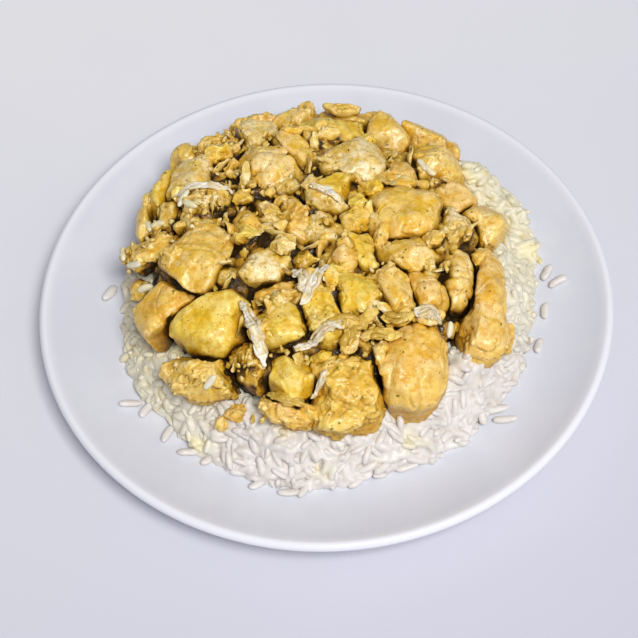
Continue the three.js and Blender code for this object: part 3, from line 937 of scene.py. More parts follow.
def scatter_tree(name):
    """Scatters three template objects over a mesh, laid to its surface, and ends as plain mesh."""
    tree = bpy.data.node_groups.new(name, "GeometryNodeTree")
    sockets = {
        "Geometry": ("Surface",), "Object": ("First", "Second", "Third"),
        "Float": ("Spacing", "Per Square Metre", "Tilt", "Smallest", "Largest", "Lift Low", "Lift High"),
        "Int": ("Seed",), "Material": ("Finish",),
    }
    for kind, labels in sockets.items():
        for label in labels:
            tree.interface.new_socket(label, in_out="INPUT", socket_type="NodeSocket" + kind)
    tree.interface.new_socket("Mesh", in_out="OUTPUT", socket_type="NodeSocketGeometry")
    given = add_node(tree, "NodeGroupInput").outputs
    open_area = add_node(tree, "GeometryNodeInputNamedAttribute", {"Name": "open"}, data_type="FLOAT")
    spread = add_node(tree, "GeometryNodeDistributePointsOnFaces", {
        "Mesh": given["Surface"], "Distance Min": given["Spacing"],
        "Density Max": given["Per Square Metre"], "Density Factor": open_area.outputs["Attribute"],
        "Seed": given["Seed"],
    }, distribute_method="POISSON")
    lift = add_node(tree, "FunctionNodeRandomValue", {
        2: given["Lift Low"], 3: given["Lift High"], "Seed": 7,
    }, data_type="FLOAT")
    away = add_node(tree, "ShaderNodeVectorMath", {
        0: spread.outputs["Normal"], "Scale": lift.outputs[1],
    }, operation="SCALE")
    raised = add_node(tree, "GeometryNodeSetPosition", {
        "Geometry": spread.outputs["Points"], "Offset": away.outputs[0],
    })
    lean_low = add_node(tree, "ShaderNodeMath", {0: given["Tilt"], 1: -1.0}, operation="MULTIPLY")
    low = add_node(tree, "ShaderNodeCombineXYZ", {
        "X": -math.pi, "Y": lean_low.outputs[0], "Z": -math.pi,
    })
    high = add_node(tree, "ShaderNodeCombineXYZ", {"X": math.pi, "Y": given["Tilt"], "Z": math.pi})
    angles = add_node(tree, "FunctionNodeRandomValue", {
        0: low.outputs[0], 1: high.outputs[0], "Seed": 3,
    }, data_type="FLOAT_VECTOR")
    turned = add_node(tree, "FunctionNodeRotateRotation", {
        "Rotation": spread.outputs["Rotation"], "Rotate By": angles.outputs[0],
    }, rotation_space="LOCAL")
    size = add_node(tree, "FunctionNodeRandomValue", {
        2: given["Smallest"], 3: given["Largest"], "Seed": 5,
    }, data_type="FLOAT")
    choices = add_node(tree, "GeometryNodeJoinGeometry")
    for label in ("First", "Second", "Third"):
        template = add_node(tree, "GeometryNodeObjectInfo", {"Object": given[label], "As Instance": True})
        tree.links.new(template.outputs["Geometry"], choices.inputs[0])
    placed = add_node(tree, "GeometryNodeInstanceOnPoints", {
        "Points": raised.outputs[0], "Instance": choices.outputs[0], "Pick Instance": True,
        "Rotation": turned.outputs[0], "Scale": size.outputs[1],
    })
    real = add_node(tree, "GeometryNodeRealizeInstances", {0: placed.outputs[0]})
    dressed = add_node(tree, "GeometryNodeSetMaterial", {
        "Geometry": real.outputs[0], "Material": given["Finish"],
    })
    add_node(tree, "NodeGroupOutput", {"Mesh": dressed.outputs[0]})
    return tree


def scattered(name, surface, shapes, finish, seed, spacing, thickly, tilt, sizes, lifts):
    """Mesh of three shapes scattered over a surface mesh. The spacing and the lowest and highest
    lift are in millimetres, thickly is a count a square metre, and the tilt is in radians."""
    base = new_object(name, surface)
    templates = []
    for points, faces in shapes:
        templates.append(new_object("template", mesh_from("template", points, faces)))
    tree = scatter_tree(name)
    modifier = base.modifiers.new("scatter", "NODES")
    modifier.node_group = tree
    given = dict(zip(("First", "Second", "Third"), templates))
    given.update({
        "Spacing": spacing * MM, "Per Square Metre": thickly, "Tilt": tilt, "Smallest": sizes[0],
        "Largest": sizes[1], "Lift Low": lifts[0] * MM, "Lift High": lifts[1] * MM, "Seed": seed,
        "Finish": material(finish),
    })
    for item in tree.interface.items_tree:
        if item.in_out == "INPUT" and item.name in given:
            modifier[item.identifier] = given[item.name]
    mesh = evaluated_mesh(base, name)
    for template in templates:
        shape = template.data
        bpy.data.objects.remove(template)
        bpy.data.meshes.remove(shape)
    bpy.data.node_groups.remove(tree)
    return mesh


# ---------------------------------------------------------------- rice

def sauce_reach(points):
    """How far the yellow sauce has stained the rice: most at the right and back right."""
    angle = np.arctan2(points[:, 1], points[:, 0])
    sides = unit(np.cos(angle - 0.50) * 1.6 - 0.75) * 0.60
    spots = unit(smooth_noise(points, 15.0, 71) * 2.0 - 0.75) * 0.6
    inward = unit((78 - from_plate_middle(points)) / 8) * 0.25
    left = unit(2.4 * np.cos(angle - 3.35) - 1.5) * 0.5
    return np.clip(sides + spots + inward + left, 0, 0.8)


# Lumps of rice banked up against the meat: place, height of the top, length, width and turn
RICE_BANKS = (
    (70, 53, 34, 34, 20, -40), (82, 42, 26, 32, 20, -50), (88, 26, 19, 34, 18, -70),
    (68, 7, 33, 24, 14, 90), (78, -12, 26, 26, 16, 100), (74, -33, 26, 28, 18, 60),
    (57, -48, 34, 30, 20, 40), (56, 64, 28, 24, 16, -20), (93, 8, 12, 20, 11, 95),
)
BANK_MIDDLE = 6


def rice_bank(x, y, top, length, width, turn):
    """One lump of RICE_BANKS, as points and faces"""
    points, faces = ball(3)
    points = points * np.array((length, width, 2 * (top - BANK_MIDDLE))) / 2
    return resting_on_plate(turned_flat(points, turn) + np.array((x, y, BANK_MIDDLE))), faces


def plate_height(x, y):
    """Height of the plate's inner surface"""
    outward = np.hypot(x, y) / (PLATE_RADIUS - LIP_WIDTH)
    return INSIDE_FLOOR + (RIM_HEIGHT - INSIDE_FLOOR - LIP_DROP) * outward ** WELL_CURVE


def resting_on_plate(points):
    """Keeps food from sinking into the plate beneath it."""
    lowest = plate_height(points[:, 0], points[:, 1]) - PRESSED_IN
    points[:, 2] = np.maximum(points[:, 2], lowest)
    return points


def grains(length, width):
    """The three shapes of grain that are scattered"""
    return (
        rice_grain(length, 0.92 * width, 0.5),
        rice_grain(0.88 * length, 0.98 * width, -0.7),
        rice_grain(0.72 * length, width, 0.2),
    )


def rice_core(settings):
    """The lumpy heap that the grains are packed on: the bed of rice, its banks and its collar."""
    bed = welded_copy("rice_bed", "rice_core")
    parts = [(mesh_points(bed), faces_of(bed))] + [rice_bank(*bank) for bank in RICE_BANKS]
    mesh = even_skin(joined_mesh("rice_core", parts), "rice_core", 1.6, 4)
    points = mesh_points(mesh)
    normals = mesh_normals(mesh)
    outside = unit((from_plate_middle(points) - 40) / 20)
    upward = unit(normals[:, 2] * 2 + 0.6)
    lumps = 1.0 * smooth_noise(points, 6.0, 61) + 0.7 * smooth_noise(points, 3.0, 62)
    points = points + normals * ((lumps - settings.core_depth / MM) * outside * upward)[:, None]
    radius = from_plate_middle(points)
    collar = np.exp(-((radius - 70) / 11) ** 2) * unit((points[:, 2] - 12) / 8)
    behind = unit((points[:, 1] / radius + 0.8) / 0.8)
    points[:, 2] += (5.0 + 4.5 * behind) * collar * unit(0.75 + 0.6 * smooth_noise(points, 22.0, 67))
    set_points(mesh, points)
    smooth_shaded(mesh)
    return mesh


def grain_surface(core):
    """A copy of the rice's core, marked open where grains can be seen on it."""
    mesh = core.copy()
    points = mesh_points(mesh)
    covered_radius = 58
    overhang = -0.35
    bare = from_plate_middle(points) > covered_radius
    mark(mesh, open=bare & (mesh_normals(mesh)[:, 2] > overhang))
    return mesh


# ---------------------------------------------------------------- operators

class ChickenSettings(bpy.types.PropertyGroup):
    cell: bpy.props.FloatProperty(
        name="Skin cell", description="Size of the small faces of a piece",
        default=0.62 * MM, min=0.3 * MM, max=3 * MM, subtype="DISTANCE", unit="LENGTH")
    fullness: bpy.props.FloatProperty(
        name="Fullness", description="How far a piece swells past its solid",
        default=3 * MM, min=0, max=5 * MM, subtype="DISTANCE", unit="LENGTH")
    relief: bpy.props.FloatProperty(
        name="Relief", description="Depth of lumps and creases in the meat",
        default=1 * MM, min=0, max=3 * MM, subtype="DISTANCE", unit="LENGTH")


class RiceSettings(bpy.types.PropertyGroup):
    grain_length: bpy.props.FloatProperty(
        name="Grain length", description="Length of a cooked grain",
        default=10.5 * MM, min=5 * MM, max=15 * MM, subtype="DISTANCE", unit="LENGTH")
    grain_width: bpy.props.FloatProperty(
        name="Grain width", description="Width of a cooked grain",
        default=3.9 * MM, min=1 * MM, max=6 * MM, subtype="DISTANCE", unit="LENGTH")
    core_depth: bpy.props.FloatProperty(
        name="Core depth", description="How far the core lies inside the heap's surface",
        default=0.9 * MM, min=0, max=5 * MM, subtype="DISTANCE", unit="LENGTH")
    spacing: bpy.props.FloatProperty(
        name="Grain spacing", description="Least distance between the middles of grains",
        default=2.9 * MM, min=2 * MM, max=10 * MM, subtype="DISTANCE", unit="LENGTH")


class StageSettings(bpy.types.PropertyGroup):
    distance: bpy.props.FloatProperty(
        name="Camera distance", description="From the middle of the plate's rim",
        default=581 * MM, min=200 * MM, max=5000 * MM, subtype="DISTANCE", unit="LENGTH")
    elevation: bpy.props.FloatProperty(
        name="Camera elevation", description="Height of the view above level",
        default=math.radians(53.47), subtype="ANGLE", unit="ROTATION")


class CURRY_OT_plate(bpy.types.Operator):
    """Makes the coupe plate with a smooth glazed surface"""
    bl_idname = "curry.plate"
    bl_label = "Plate"

    def execute(self, context):
        thickness = 4.3
        lip_radius = 2.2
        lip_start = math.radians(-30)
        lip_end = math.radians(121)
        inner_radius = PLATE_RADIUS - lip_radius * (1 - math.cos(lip_end))
        rise = RIM_HEIGHT - lip_radius * (1 - math.sin(lip_end)) - INSIDE_FLOOR

        def inside(radius):
            return INSIDE_FLOOR + rise * (radius / inner_radius) ** WELL_CURVE

        foot = [(0.0, 2.2), (30.0, 2.2), (50.0, 2.2), (54.0, 1.9), (55.2, 0.6), (56.0, 0.1), (57.0, 0.0)]
        foot += [(61.0, 0.0), (62.0, 0.1), (62.8, 0.7), (64.0, 1.7)]
        under = [(radius, inside(radius) - thickness) for radius in np.linspace(66, 112, 14)]
        under += [(117.5, 12.3), (120.4, 14.4), (122.5, 16.2), (124.0, 17.6)]
        profile = foot + under
        for step in range(11):
            angle = lip_start + (lip_end - lip_start) * step / 10
            profile.append((
                PLATE_RADIUS - lip_radius + lip_radius * math.cos(angle),
                RIM_HEIGHT - lip_radius + lip_radius * math.sin(angle),
            ))
        profile += [(radius, inside(radius)) for radius in np.linspace(inner_radius - 0.8, 3, 44)]
        profile += [(0.0, INSIDE_FLOOR)]
        sides = 180
        points = [(0, 0, profile[0][1])]
        for radius, height in profile[1:-1]:
            for side in range(sides):
                angle = 2 * math.pi * side / sides
                points.append((radius * math.cos(angle), radius * math.sin(angle), height))
        points.append((0, 0, profile[-1][1]))
        mesh = mesh_from("plate_glazed", points, faces_round(len(profile) - 2, sides))
        at = mesh_points(mesh)
        # Marks the lip for the painted highlight in the glaze
        on_lip = unit((from_plate_middle(at) - 119.0) / 3.5) * (at[:, 2] > 19)
        mark(mesh, lip=on_lip)
        add_piece("plate_glazed", mesh, "glaze", "glaze", ("plate",))
        return {"FINISHED"}


class CURRY_OT_rice(bpy.types.Operator):
    """Makes the rice: grains packed and stuck together, and loose ones lying on them"""
    bl_idname = "curry.rice"
    bl_label = "Rice"

    def execute(self, context):
        settings = context.scene.curry_rice
        core = rice_core(settings)
        surface = grain_surface(core)
        shapes = grains(settings.grain_length / MM, settings.grain_width / MM)
        close_packed = scattered(
            "close_packed", surface.copy(), shapes, "rice", 4, settings.spacing / MM, 200000.0, 0.4,
            (0.85, 1.1), (-0.8, 1.2))
        parts = [(mesh_points(part), faces_of(part)) for part in (core, close_packed)]
        mass = even_skin(joined_mesh("rice_mass", parts), "rice_mass", 0.72, 3, 0.47)
        points = self.settled(mass)
        # The cavity mark sets where the finish paints shade into the hollows between grains
        mark(mass, cavity=unit(-standing_out(mass, points, 6) / 0.6))
        add_piece("rice_mass", mass, "rice", "rice", ("rice_bed",))
        on_top = scattered(
            "rice_grains", surface, shapes, "rice", 9, 3.2, 90000.0, 0.4, (0.66, 1.04), (0.0, 1.7))
        self.settled(on_top)
        add_piece("rice_grains", on_top, "rice", "rice")
        return {"FINISHED"}

    def settled(self, mesh):
        """Rests the rice on the plate, and marks how far sauce has stained it."""
        points = resting_on_plate(mesh_points(mesh))
        set_points(mesh, points)
        mark(mesh, sauce=sauce_reach(points))
        FOOD.add(points)
        return points


def filling_surface(step, reach):
    """Heights of a rough heap of shredded meat that nearly fills the gaps between the pieces."""
    closing = 8
    closed = spread_height(MEAT.top, closing, np.maximum)
    closed = spread_height(closed, closing, np.minimum)
    level = FoodHeight()
    level.top = closed
    level.top = level.smoothed(1)
    line = np.arange(-reach, reach + step, step)
    across, away = np.meshgrid(line + HEAP_MIDDLE[0], line + HEAP_MIDDLE[1])
    flat = np.stack([across.ravel(), away.ravel(), np.zeros(across.size)], axis=1)
    sunk = 6.5 + 5.5 * smooth_noise(flat, 17.0, 41) + 3.0 * smooth_noise(flat, 8.0, 42)
    from_middle = from_heap_middle(flat[:, 0], flat[:, 1])
    sunk = np.clip(sunk, 2.0, 14.0) + 20 * unit((from_middle - 60) / 14) ** 2
    base = (level.at(flat[:, 0], flat[:, 1]) - sunk).reshape(across.shape)
    height = base.copy()
    rng = np.random.default_rng(47)
    shreds = 1900
    for _ in range(shreds):
        x, y = rng.uniform(-reach, reach, 2)
        half_length = rng.uniform(1.6, 5.0)
        half_width = half_length * rng.uniform(0.4, 0.8)
        turn = rng.uniform(0, math.pi)
        column, row = (int((value + reach) / step) for value in (x, y))
        span = int(half_length / step) + 1
        rows = slice(max(row - span, 0), row + span + 1)
        columns = slice(max(column - span, 0), column + span + 1)
        off_x = line[columns][None, :] - x
        off_y = line[rows][:, None] - y
        along = (off_x * math.cos(turn) + off_y * math.sin(turn)) / half_length
        beside = (off_y * math.cos(turn) - off_x * math.sin(turn)) / half_width
        dome = np.sqrt(unit(1 - along ** 2 - beside ** 2))
        middle = base[min(row, len(line) - 1), min(column, len(line) - 1)] + rng.uniform(-1.8, 0.6)
        lump = np.where(dome > 0, middle + half_width * rng.uniform(0.8, 1.2) * dome, -99)
        height[rows, columns] = np.maximum(height[rows, columns], lump)
    return across, away, height


class CURRY_OT_bed(bpy.types.Operator):
    """Makes the shredded and crumbled chicken that lies under and between the pieces"""
    bl_idname = "curry.bed"
    bl_label = "Shredded bed"

    def execute(self, context):
        lowest = 14.0
        bed_radius = 69
        across, away, height = filling_surface(0.75, 76.0)
        height = np.maximum(height, lowest + 0.5)
        side = len(height)
        count = side * side
        top = np.stack([across.ravel(), away.ravel(), height.ravel()], axis=1)
        under = top.copy()
        under[:, 2] = lowest
        inside = from_heap_middle(across, away) < bed_radius
        filled = inside[:-1, :-1] & (height[:-1, :-1] > lowest + 3)
        faces = []
        for row, column in np.argwhere(filled):
            a = row * side + column
            corners = (a, a + 1, a + side + 1, a + side)
            faces.append(corners)
            faces.append([count + corner for corner in reversed(corners)])
            beyond = ((row - 1, column), (row, column + 1), (row + 1, column), (row, column - 1))
            for step, other in enumerate(beyond):
                if not filled[other]:
                    here, after = corners[step], corners[(step + 1) % 4]
                    faces.append((here, count + here, count + after, after))
        mesh = mesh_from("curry_bed_meat", np.concatenate([top, under]), faces)
        mesh = even_skin(mesh, "curry_bed_meat", 0.9, 1)
        points = mesh_points(mesh)
        upward = unit((points[:, 2] - lowest - 1) / 4)[:, None]
        ragged = 0.9 * layered_noise(points, 3.4, 43, 2) + 0.35 * smooth_noise(points, 1.5, 45)
        moves = mesh_normals(mesh) * ragged[:, None] + 0.8 * vector_noise(points, 5.0, 46)
        moved = points + upward * moves
        set_points(mesh, moved)
        FILLING.add(moved)
        FOOD.add(moved)
        # The cavity mark sets where the finish paints shade into creases
        mark(mesh, cavity=unit(-standing_out(mesh, moved, 8) / 0.9))
        add_piece("curry_bed_meat", mesh, "crumbled_chicken", "crumbled_chicken", ("curry_bed",))
        return {"FINISHED"}


class CURRY_OT_chicken(bpy.types.Operator):
    """Makes every large piece of chicken from its solid"""
    bl_idname = "curry.chicken"
    bl_label = "Chicken pieces"

    def execute(self, context):
        neighbours = Neighbours(CHICKEN)
        for index, node in enumerate(CHICKEN):
            chicken_piece(node, index, context.scene.curry_chicken, neighbours)
        return {"FINISHED"}


def drape(name, filling, clusters, calm):
    """A sheet laid over the food so far, marked open where small things may be scattered on it:
    how much on the filling and how much in the clusters, but not on the rice or on steep flanks."""
    step = 2.0
    reach = 92
    steepest = 2.4
    line = np.arange(-reach, reach + step, step)
    across, away = np.meshgrid(line, line)
    top = FOOD.smoothed(calm)
    column, row = FOOD.cells(across.ravel(), away.ravel())
    points = np.stack([across.ravel(), away.ravel(), top[column, row]], axis=1)
    count = len(line)
    faces = [
        (r * count + c, r * count + c + 1, (r + 1) * count + c + 1, (r + 1) * count + c)
        for r in range(count - 1) for c in range(count - 1)
    ]
    mesh = mesh_from(name, points, faces)
    rise = np.hypot(*np.gradient(points[:, 2].reshape(count, count), step)).ravel()
    level = unit(steepest - rise) * (points[:, 2] > RICE_TOP + 3)
    share = np.maximum(filling * on_filling(points), clusters * near_clusters(points))
    mark(mesh, open=share * level)
    return mesh


# Clusters of crumbs: place, width and how thickly they lie there
CRUMB_CLUSTERS = (
    (-44, 33, 10, 1.0), (-44, 64, 9, 1.0), (-70, 14, 10, 1.0), (-35, -54, 9, 1.0), (-51, 21, 11, 0.9),
    (-52, 32, 7, 0.9), (-30, 28, 7, 0.8), (-64, -50, 7, 1.0), (-9, -52, 7, 0.7), (17, -44, 8, 0.9),
    (-18, -55, 6, 0.6), (-78, 4, 9, 0.8), (-38, 74, 7, 0.6), (6, 84, 9, 0.4), (30, 80, 8, 0.4),
    (-12, 27, 8, 0.7), (-60, 60, 9, 0.5), (14, -76, 6, 0.5), (-28, -70, 6, 0.5),
)


def near_clusters(points):
    """How thickly crumbs lie at each point, from the clusters around it"""
    share = np.zeros(len(points))
    for x, y, width, most in CRUMB_CLUSTERS:
        away = np.hypot(points[:, 0] - x, points[:, 1] - y) / width
        share = np.maximum(share, most * unit(1.6 - 1.6 * away))
    return share


def on_filling(points):
    """Where the shredded bed is what shows from above"""
    lowest = 20
    filling = FILLING.at(points[:, 0], points[:, 1])
    shows = unit(filling - MEAT.at(points[:, 0], points[:, 1]) + 1.5)
    return shows * (filling > lowest)


# Small pieces, one by one: place, length, width, height, turn, lift, finish
SMALL_PIECES = (
    (-83, 8, 11, 7, 6, 20, 1, "golden"), (-79, -6, 12, 9, 7, 60, 1, "golden"),
    (-44, 55, 13, 9, 8, 20, 1, "yellow"), (27, 82, 12, 9, 8, -20, -1, "golden"),
    (74, -40, 14, 8, 8, 85, 0, "orange"), (16, 17, 9, 7, 6, 30, 1, "yellow"),
    (-16, -7, 12, 10, 6, 60, 1, "pale"), (-8, -10, 14, 8, 7, 15, 1, "yellow"),
    (-64, -50, 12, 9, 9, 100, 1, "orange"), (9, -51, 10, 8, 7, 40, 1, "pale"),
    (40, -41, 12, 7, 5, -5, 2, "pale"), (49, -38, 11, 9, 8, 0, 0, "golden"),
    (-2, -55, 10, 7, 6, 20, 0, "yellow"), (4, -21, 14, 10, 8, 50, -1, "yellow"),
    (-4, 26, 10, 8, 7, 70, 1, "pale"), (-16, 22, 9, 7, 6, 20, 1, "golden"),
    (-33, 23, 10, 7, 6, 10, 1, "golden"), (22, 25, 12, 8, 7, -30, 0, "yellow"),
    (25, 0, 11, 8, 7, 80, 0, "golden"), (-31, -1, 10, 7, 7, 40, 0, "yellow"),
    (-5, -22, 12, 7, 6, -20, 0, "golden"), (46, -5, 12, 9, 8, 60, 0, "golden"),
    (64, 38, 11, 9, 7, 0, 0, "golden"), (30, -40, 13, 7, 7, 25, 1, "golden"),
    (12, -47, 13, 8, 7, -35, 1, "golden"), (-27, -45, 10, 8, 7, 10, 0, "yellow"),
    (-38, -67, 9, 7, 6, 20, 1, "orange"), (-44, -69, 8, 6, 5, 70, 1, "golden"),
    (-8, -74, 11, 6, 6, -50, 0, "golden"), (-58, 12, 11, 8, 7, 30, 0, "golden"),
    (-60, 30, 10, 8, 7, 75, 0, "yellow"), (-38, 46, 10, 7, 6, 60, 0, "golden"),
    (36, 28, 10, 8, 7, 10, -1, "golden"), (21, -55, 12, 7, 8, 80, -1, "golden"),
    (-12, 62, 11, 8, 7, 20, 0, "golden"), (22, 56, 10, 8, 8, 50, 0, "yellow"),
    (66, -5, 12, 9, 8, 60, -1, "golden"), (54, 62, 10, 8, 7, 10, 0, "golden"),
    (-62, -8, 12, 8, 7, 20, -1, "golden"),
)

# Strips of meat pulled into threads: places along each, width, lift, threads, bow
PALE_STRIPS = (
    (((-34, -31), (-30, -40), (-27, -50), (-25, -58)), 4.8, 1.4, 3, 0.5),
    (((-12, -18), (-8, -25), (-7, -33)), 5.4, 1.4, 3, 0.5),
    (((2, -19), (-3, -25), (-7, -33), (-9, -37)), 4.6, 1.8, 3, 0.5),
    (((-13, -53), (-5, -51), (3, -47), (9, -44)), 4.2, 1.6, 3, 1.5),
    (((35, -42), (41, -40), (46, -41)), 6.4, 2.0, 3, 0.5),
    (((-62, 26), (-54, 27), (-45, 26), (-37, 27)), 3.0, 1.6, 4, 0.5),
    (((-4, 23), (3, 20), (9, 15)), 4.0, 1.6, 5, 0.5),
    (((-7, -70), (-3, -67), (0, -63)), 2.4, 1.2, 3, 0.3),
)
YELLOW_STRIPS = (
    (((1, -46), (7, -43), (13, -44), (20, -38)), 6.5, 1.2, 2, 0.5),
    (((13, -50), (18, -47), (24, -49), (30, -50)), 5.5, 1.6, 2, 1.0),
    (((6, -56), (9, -50), (9, -43)), 5.5, 1.0, 2, 0.5),
    (((22, -40), (28, -43), (35, -41)), 4.8, 1.5, 2, 0.8),
    (((-77, 31), (-74, 40), (-70, 48)), 3.6, 1.0, 3, 1.0),
    (((-24, -66), (-17, -72), (-9, -73)), 4.4, 1.0, 3, 0.4),
)

# Grains fallen on the plate: place and turn
LOOSE_GRAINS = (
    (91, -30, 70), (-96, 9, 60), (103, 2, 20), (99, 8, 60), (73, -51, 30), (69, -60, 5), (72, -66, -5),
    (-84, -50, 5), (-77, -53, 60), (-59, -74, 5), (-51, -77, 50), (-68, -65, 70), (-37, -84, 0),
    (-31, -90, 40), (-18, -95, 0), (-12, -94, 60), (1, -90, 10), (9, -91, 40), (96, -12, 80),
    (93, 22, 40), (86, 42, 70), (-40, 92, 30), (12, 97, 70), (64, 74, 10), (-84, 42, 80), (40, -80, 20),
    (52, -74, -30), (30, -85, 15),
)
# Grains caught on the chicken: place and turn
CAUGHT_GRAINS = (
    (-75, 19, 120), (-70, 17, 0), (-77, 12, 30), (-85, 5, 110), (-80, -2, 5), (50, -40, 100), (48, 40, 130),
    (45, 42, 115), (-76, -8, 20), (-47, -62, 60), (-58, 22, 50), (-55, 18, 140),
)


def mark_torn_meat(mesh, points, passes, edge_depth, cavity_depth, torn, seed):
    """Marks worn edges, and creases for painted shade, by their depth in millimetres, and torn and bare
    places.
    """
    bumps = standing_out(mesh, points, passes)
    mark(
        mesh, edge=unit(bumps / edge_depth), cavity=unit(-bumps / cavity_depth),
        torn=unit(torn + smooth_noise(points, 5.0, seed)),
        bare=unit(0.4 + smooth_noise(points, 6.0, seed + 1)),
    )


# Meat scattered over the food, each kind in three shapes. A row holds its name and finish; how
# much lies on the filling and in the clusters, and how calm the sheet under it is; the first
# seed, the divisions and the stretches of its shapes; and the seed, the spacing, the count a
# square metre, the tilt, the sizes and the lifts of the scattering. Crumbs are too small to
# have worn edges of their own.
SCATTERED_MEAT = (
    ("filler_chunks", "chicken_golden", (1.0, 0.0, 1), 501, 3,
     ((1.35, 0.9, 0.7), (1.1, 0.85, 0.8), (1.7, 0.7, 0.6)),
     (12, 6.5, 30000.0, 1.2, (2.0, 4.2), (-1.5, 0.8))),
    ("torn_flakes", "chicken_pale", (1.0, 0.35, 1), 521, 3,
     ((1.5, 1.0, 0.30), (1.2, 1.1, 0.35), (1.9, 0.8, 0.30)),
     (33, 7.0, 30000.0, 0.9, (1.8, 3.6), (0.2, 1.6))),
    ("crumbs", "crumbled_chicken", (0.22, 0.8, 0), 511, 2,
     ((1.2, 0.9, 0.8), (1.0, 0.9, 0.9), (1.6, 0.7, 0.6)),
     (21, 2.3, 190000.0, 1.2, (0.7, 1.8), (0.0, 1.2))),
)


class CURRY_OT_fillers(bpy.types.Operator):
    """Fills the gaps between large pieces with smaller chunks and crumbs"""
    bl_idname = "curry.fillers"
    bl_label = "Small chunks and crumbs"

    def execute(self, context):
        for name, finish, where, seed, divisions, stretches, laying in SCATTERED_MEAT:
            shapes = [meat_crumb(seed + i, stretch, divisions) for i, stretch in enumerate(stretches)]
            mesh = scattered(name, drape(name + "_sheet", *where), shapes, finish, *laying)
            points = mesh_points(mesh)
            if name != "crumbs":
                mark_torn_meat(mesh, points, 3, 1.2, 0.8, 0.5, 87)
            FOOD.add(points)
            add_piece(name, mesh, finish, finish)
        return {"FINISHED"}


class CURRY_OT_small_pieces(bpy.types.Operator):
    """Lays the small torn pieces that sit on and between the large ones"""
    bl_idname = "curry.small_pieces"
    bl_label = "Small pieces"

    def execute(self, context):
        for tint in ("golden", "yellow", "orange", "pale"):
            parts = []
            for index, (x, y, length, width, height, turn, lift, finish) in enumerate(SMALL_PIECES):
                if finish == tint:
                    points, faces = torn_lump((length, width, height), 600 + 10 * index)
                    parts.append((laid_on_food(points, x, y, turn, lift), faces))
            mesh = joined_mesh(f"small_{tint}_pieces", parts)
            points = mesh_points(mesh)
            FOOD.add(points)
            mark_torn_meat(mesh, points, 8, 0.7, 0.5, 0.4, 77)
            add_piece(f"small_{tint}_pieces", mesh, "chicken_" + tint, "chicken_" + tint)
        return {"FINISHED"}


class CURRY_OT_shreds(bpy.types.Operator):
    """Drapes strips of pulled meat over the heap"""
    bl_idname = "curry.shreds"
    bl_label = "Pulled shreds"

    def execute(self, context):
        kinds = (
            ("pale_shreds", PALE_STRIPS, "shreds", "chicken_pale"),
            ("yellow_shreds", YELLOW_STRIPS, "chicken_golden", "chicken_golden"),
        )
        for name, strips, finish, slot in kinds:
            parts = []
            for index, (corners, width, lift, threads, bow) in enumerate(strips):
                parts.extend(pulled_strip(corners, width, lift, 800 + 40 * index, threads, bow))
            mesh = joined_mesh(name, parts)
            points = mesh_points(mesh)
            # The cavity mark sets where the finish paints shade into creases
            mark(
                mesh, torn=np.full(len(points), 0.9), bare=unit(0.3 + smooth_noise(points, 5.0, 79)),
                cavity=unit(-standing_out(mesh, points, 4) / 0.5),
            )
            add_piece(name, mesh, finish, slot)
        return {"FINISHED"}


class CURRY_OT_loose_grains(bpy.types.Operator):
    """Lays single grains on the plate and on the chicken"""
    bl_idname = "curry.loose_grains"
    bl_label = "Loose grains"

    def execute(self, context):
        settings = context.scene.curry_rice
        half_thick = 1.7
        parts = []
        for index, (x, y, turn) in enumerate(LOOSE_GRAINS + CAUGHT_GRAINS):
            rng = np.random.default_rng(900 + index)
            points, faces = rice_grain(
                settings.grain_length / MM * rng.uniform(0.75, 1.0),
                settings.grain_width / MM * rng.uniform(0.85, 1.0), rng.uniform(-0.7, 0.7), 12, 9)
            points = points + vector_noise(points, 4.0, 950 + index) * 0.25
            if index < len(LOOSE_GRAINS):
                points = turned_flat(points, turn) + np.array([x, y, 0])
                points[:, 2] += plate_height(points[:, 0], points[:, 1]) + half_thick
            else:
                points = laid_on_food(0.85 * points, x, y, turn, -0.5)
            parts.append((points, faces))
        mesh = joined_mesh("loose_grains", parts)
        points = mesh_points(mesh)
        caught = points[:, 2] > 30
        mark(mesh, sauce=unit(caught * (0.7 + 0.5 * smooth_noise(points, 9.0, 81))))
        add_piece("loose_grains", mesh, "rice", "rice")
        return {"FINISHED"}


class CURRY_OT_painted_gap_shade(bpy.types.Operator):
    """Marks how deep every part of the food lies in the gaps, for painted shade there, and how far it stands
    above the food around it, for paler tops that are partly painted light.
    """
    bl_idname = "curry.pooled_sauce"
    # The dark sauce in the gaps is painted shade
    bl_label = "Sauce in the gaps"

    def execute(self, context):
        pieces = [thing for thing in context.scene.objects if thing.name in FOOD_PIECES]
        calm = FOOD.smoothed(12)
        flank_start, flank_width = 68, 12
        for piece in pieces:
            points = mesh_points(piece.data)
            # Painted shade: the less sky a point sees, the darker its colour, less so on the heap's flanks
            # and on the shreds
            deep = unit((0.90 - FOOD.open_sky(points)) / 0.66)
            at_flank = unit((from_heap_middle(points[:, 0], points[:, 1]) - flank_start) / flank_width)
            exposed = 0.5 if piece.name.endswith("_shreds") else 1.0
            # Height above the calm food, for paler tops: partly drained sauce, partly painted light
            above = points[:, 2] - calm[FOOD.cells(points[:, 0], points[:, 1])]
            mark(piece.data, deep=deep * (1 - 0.62 * at_flank) * exposed, proud=unit(above / 3.5 + 0.1))
        return {"FINISHED"}


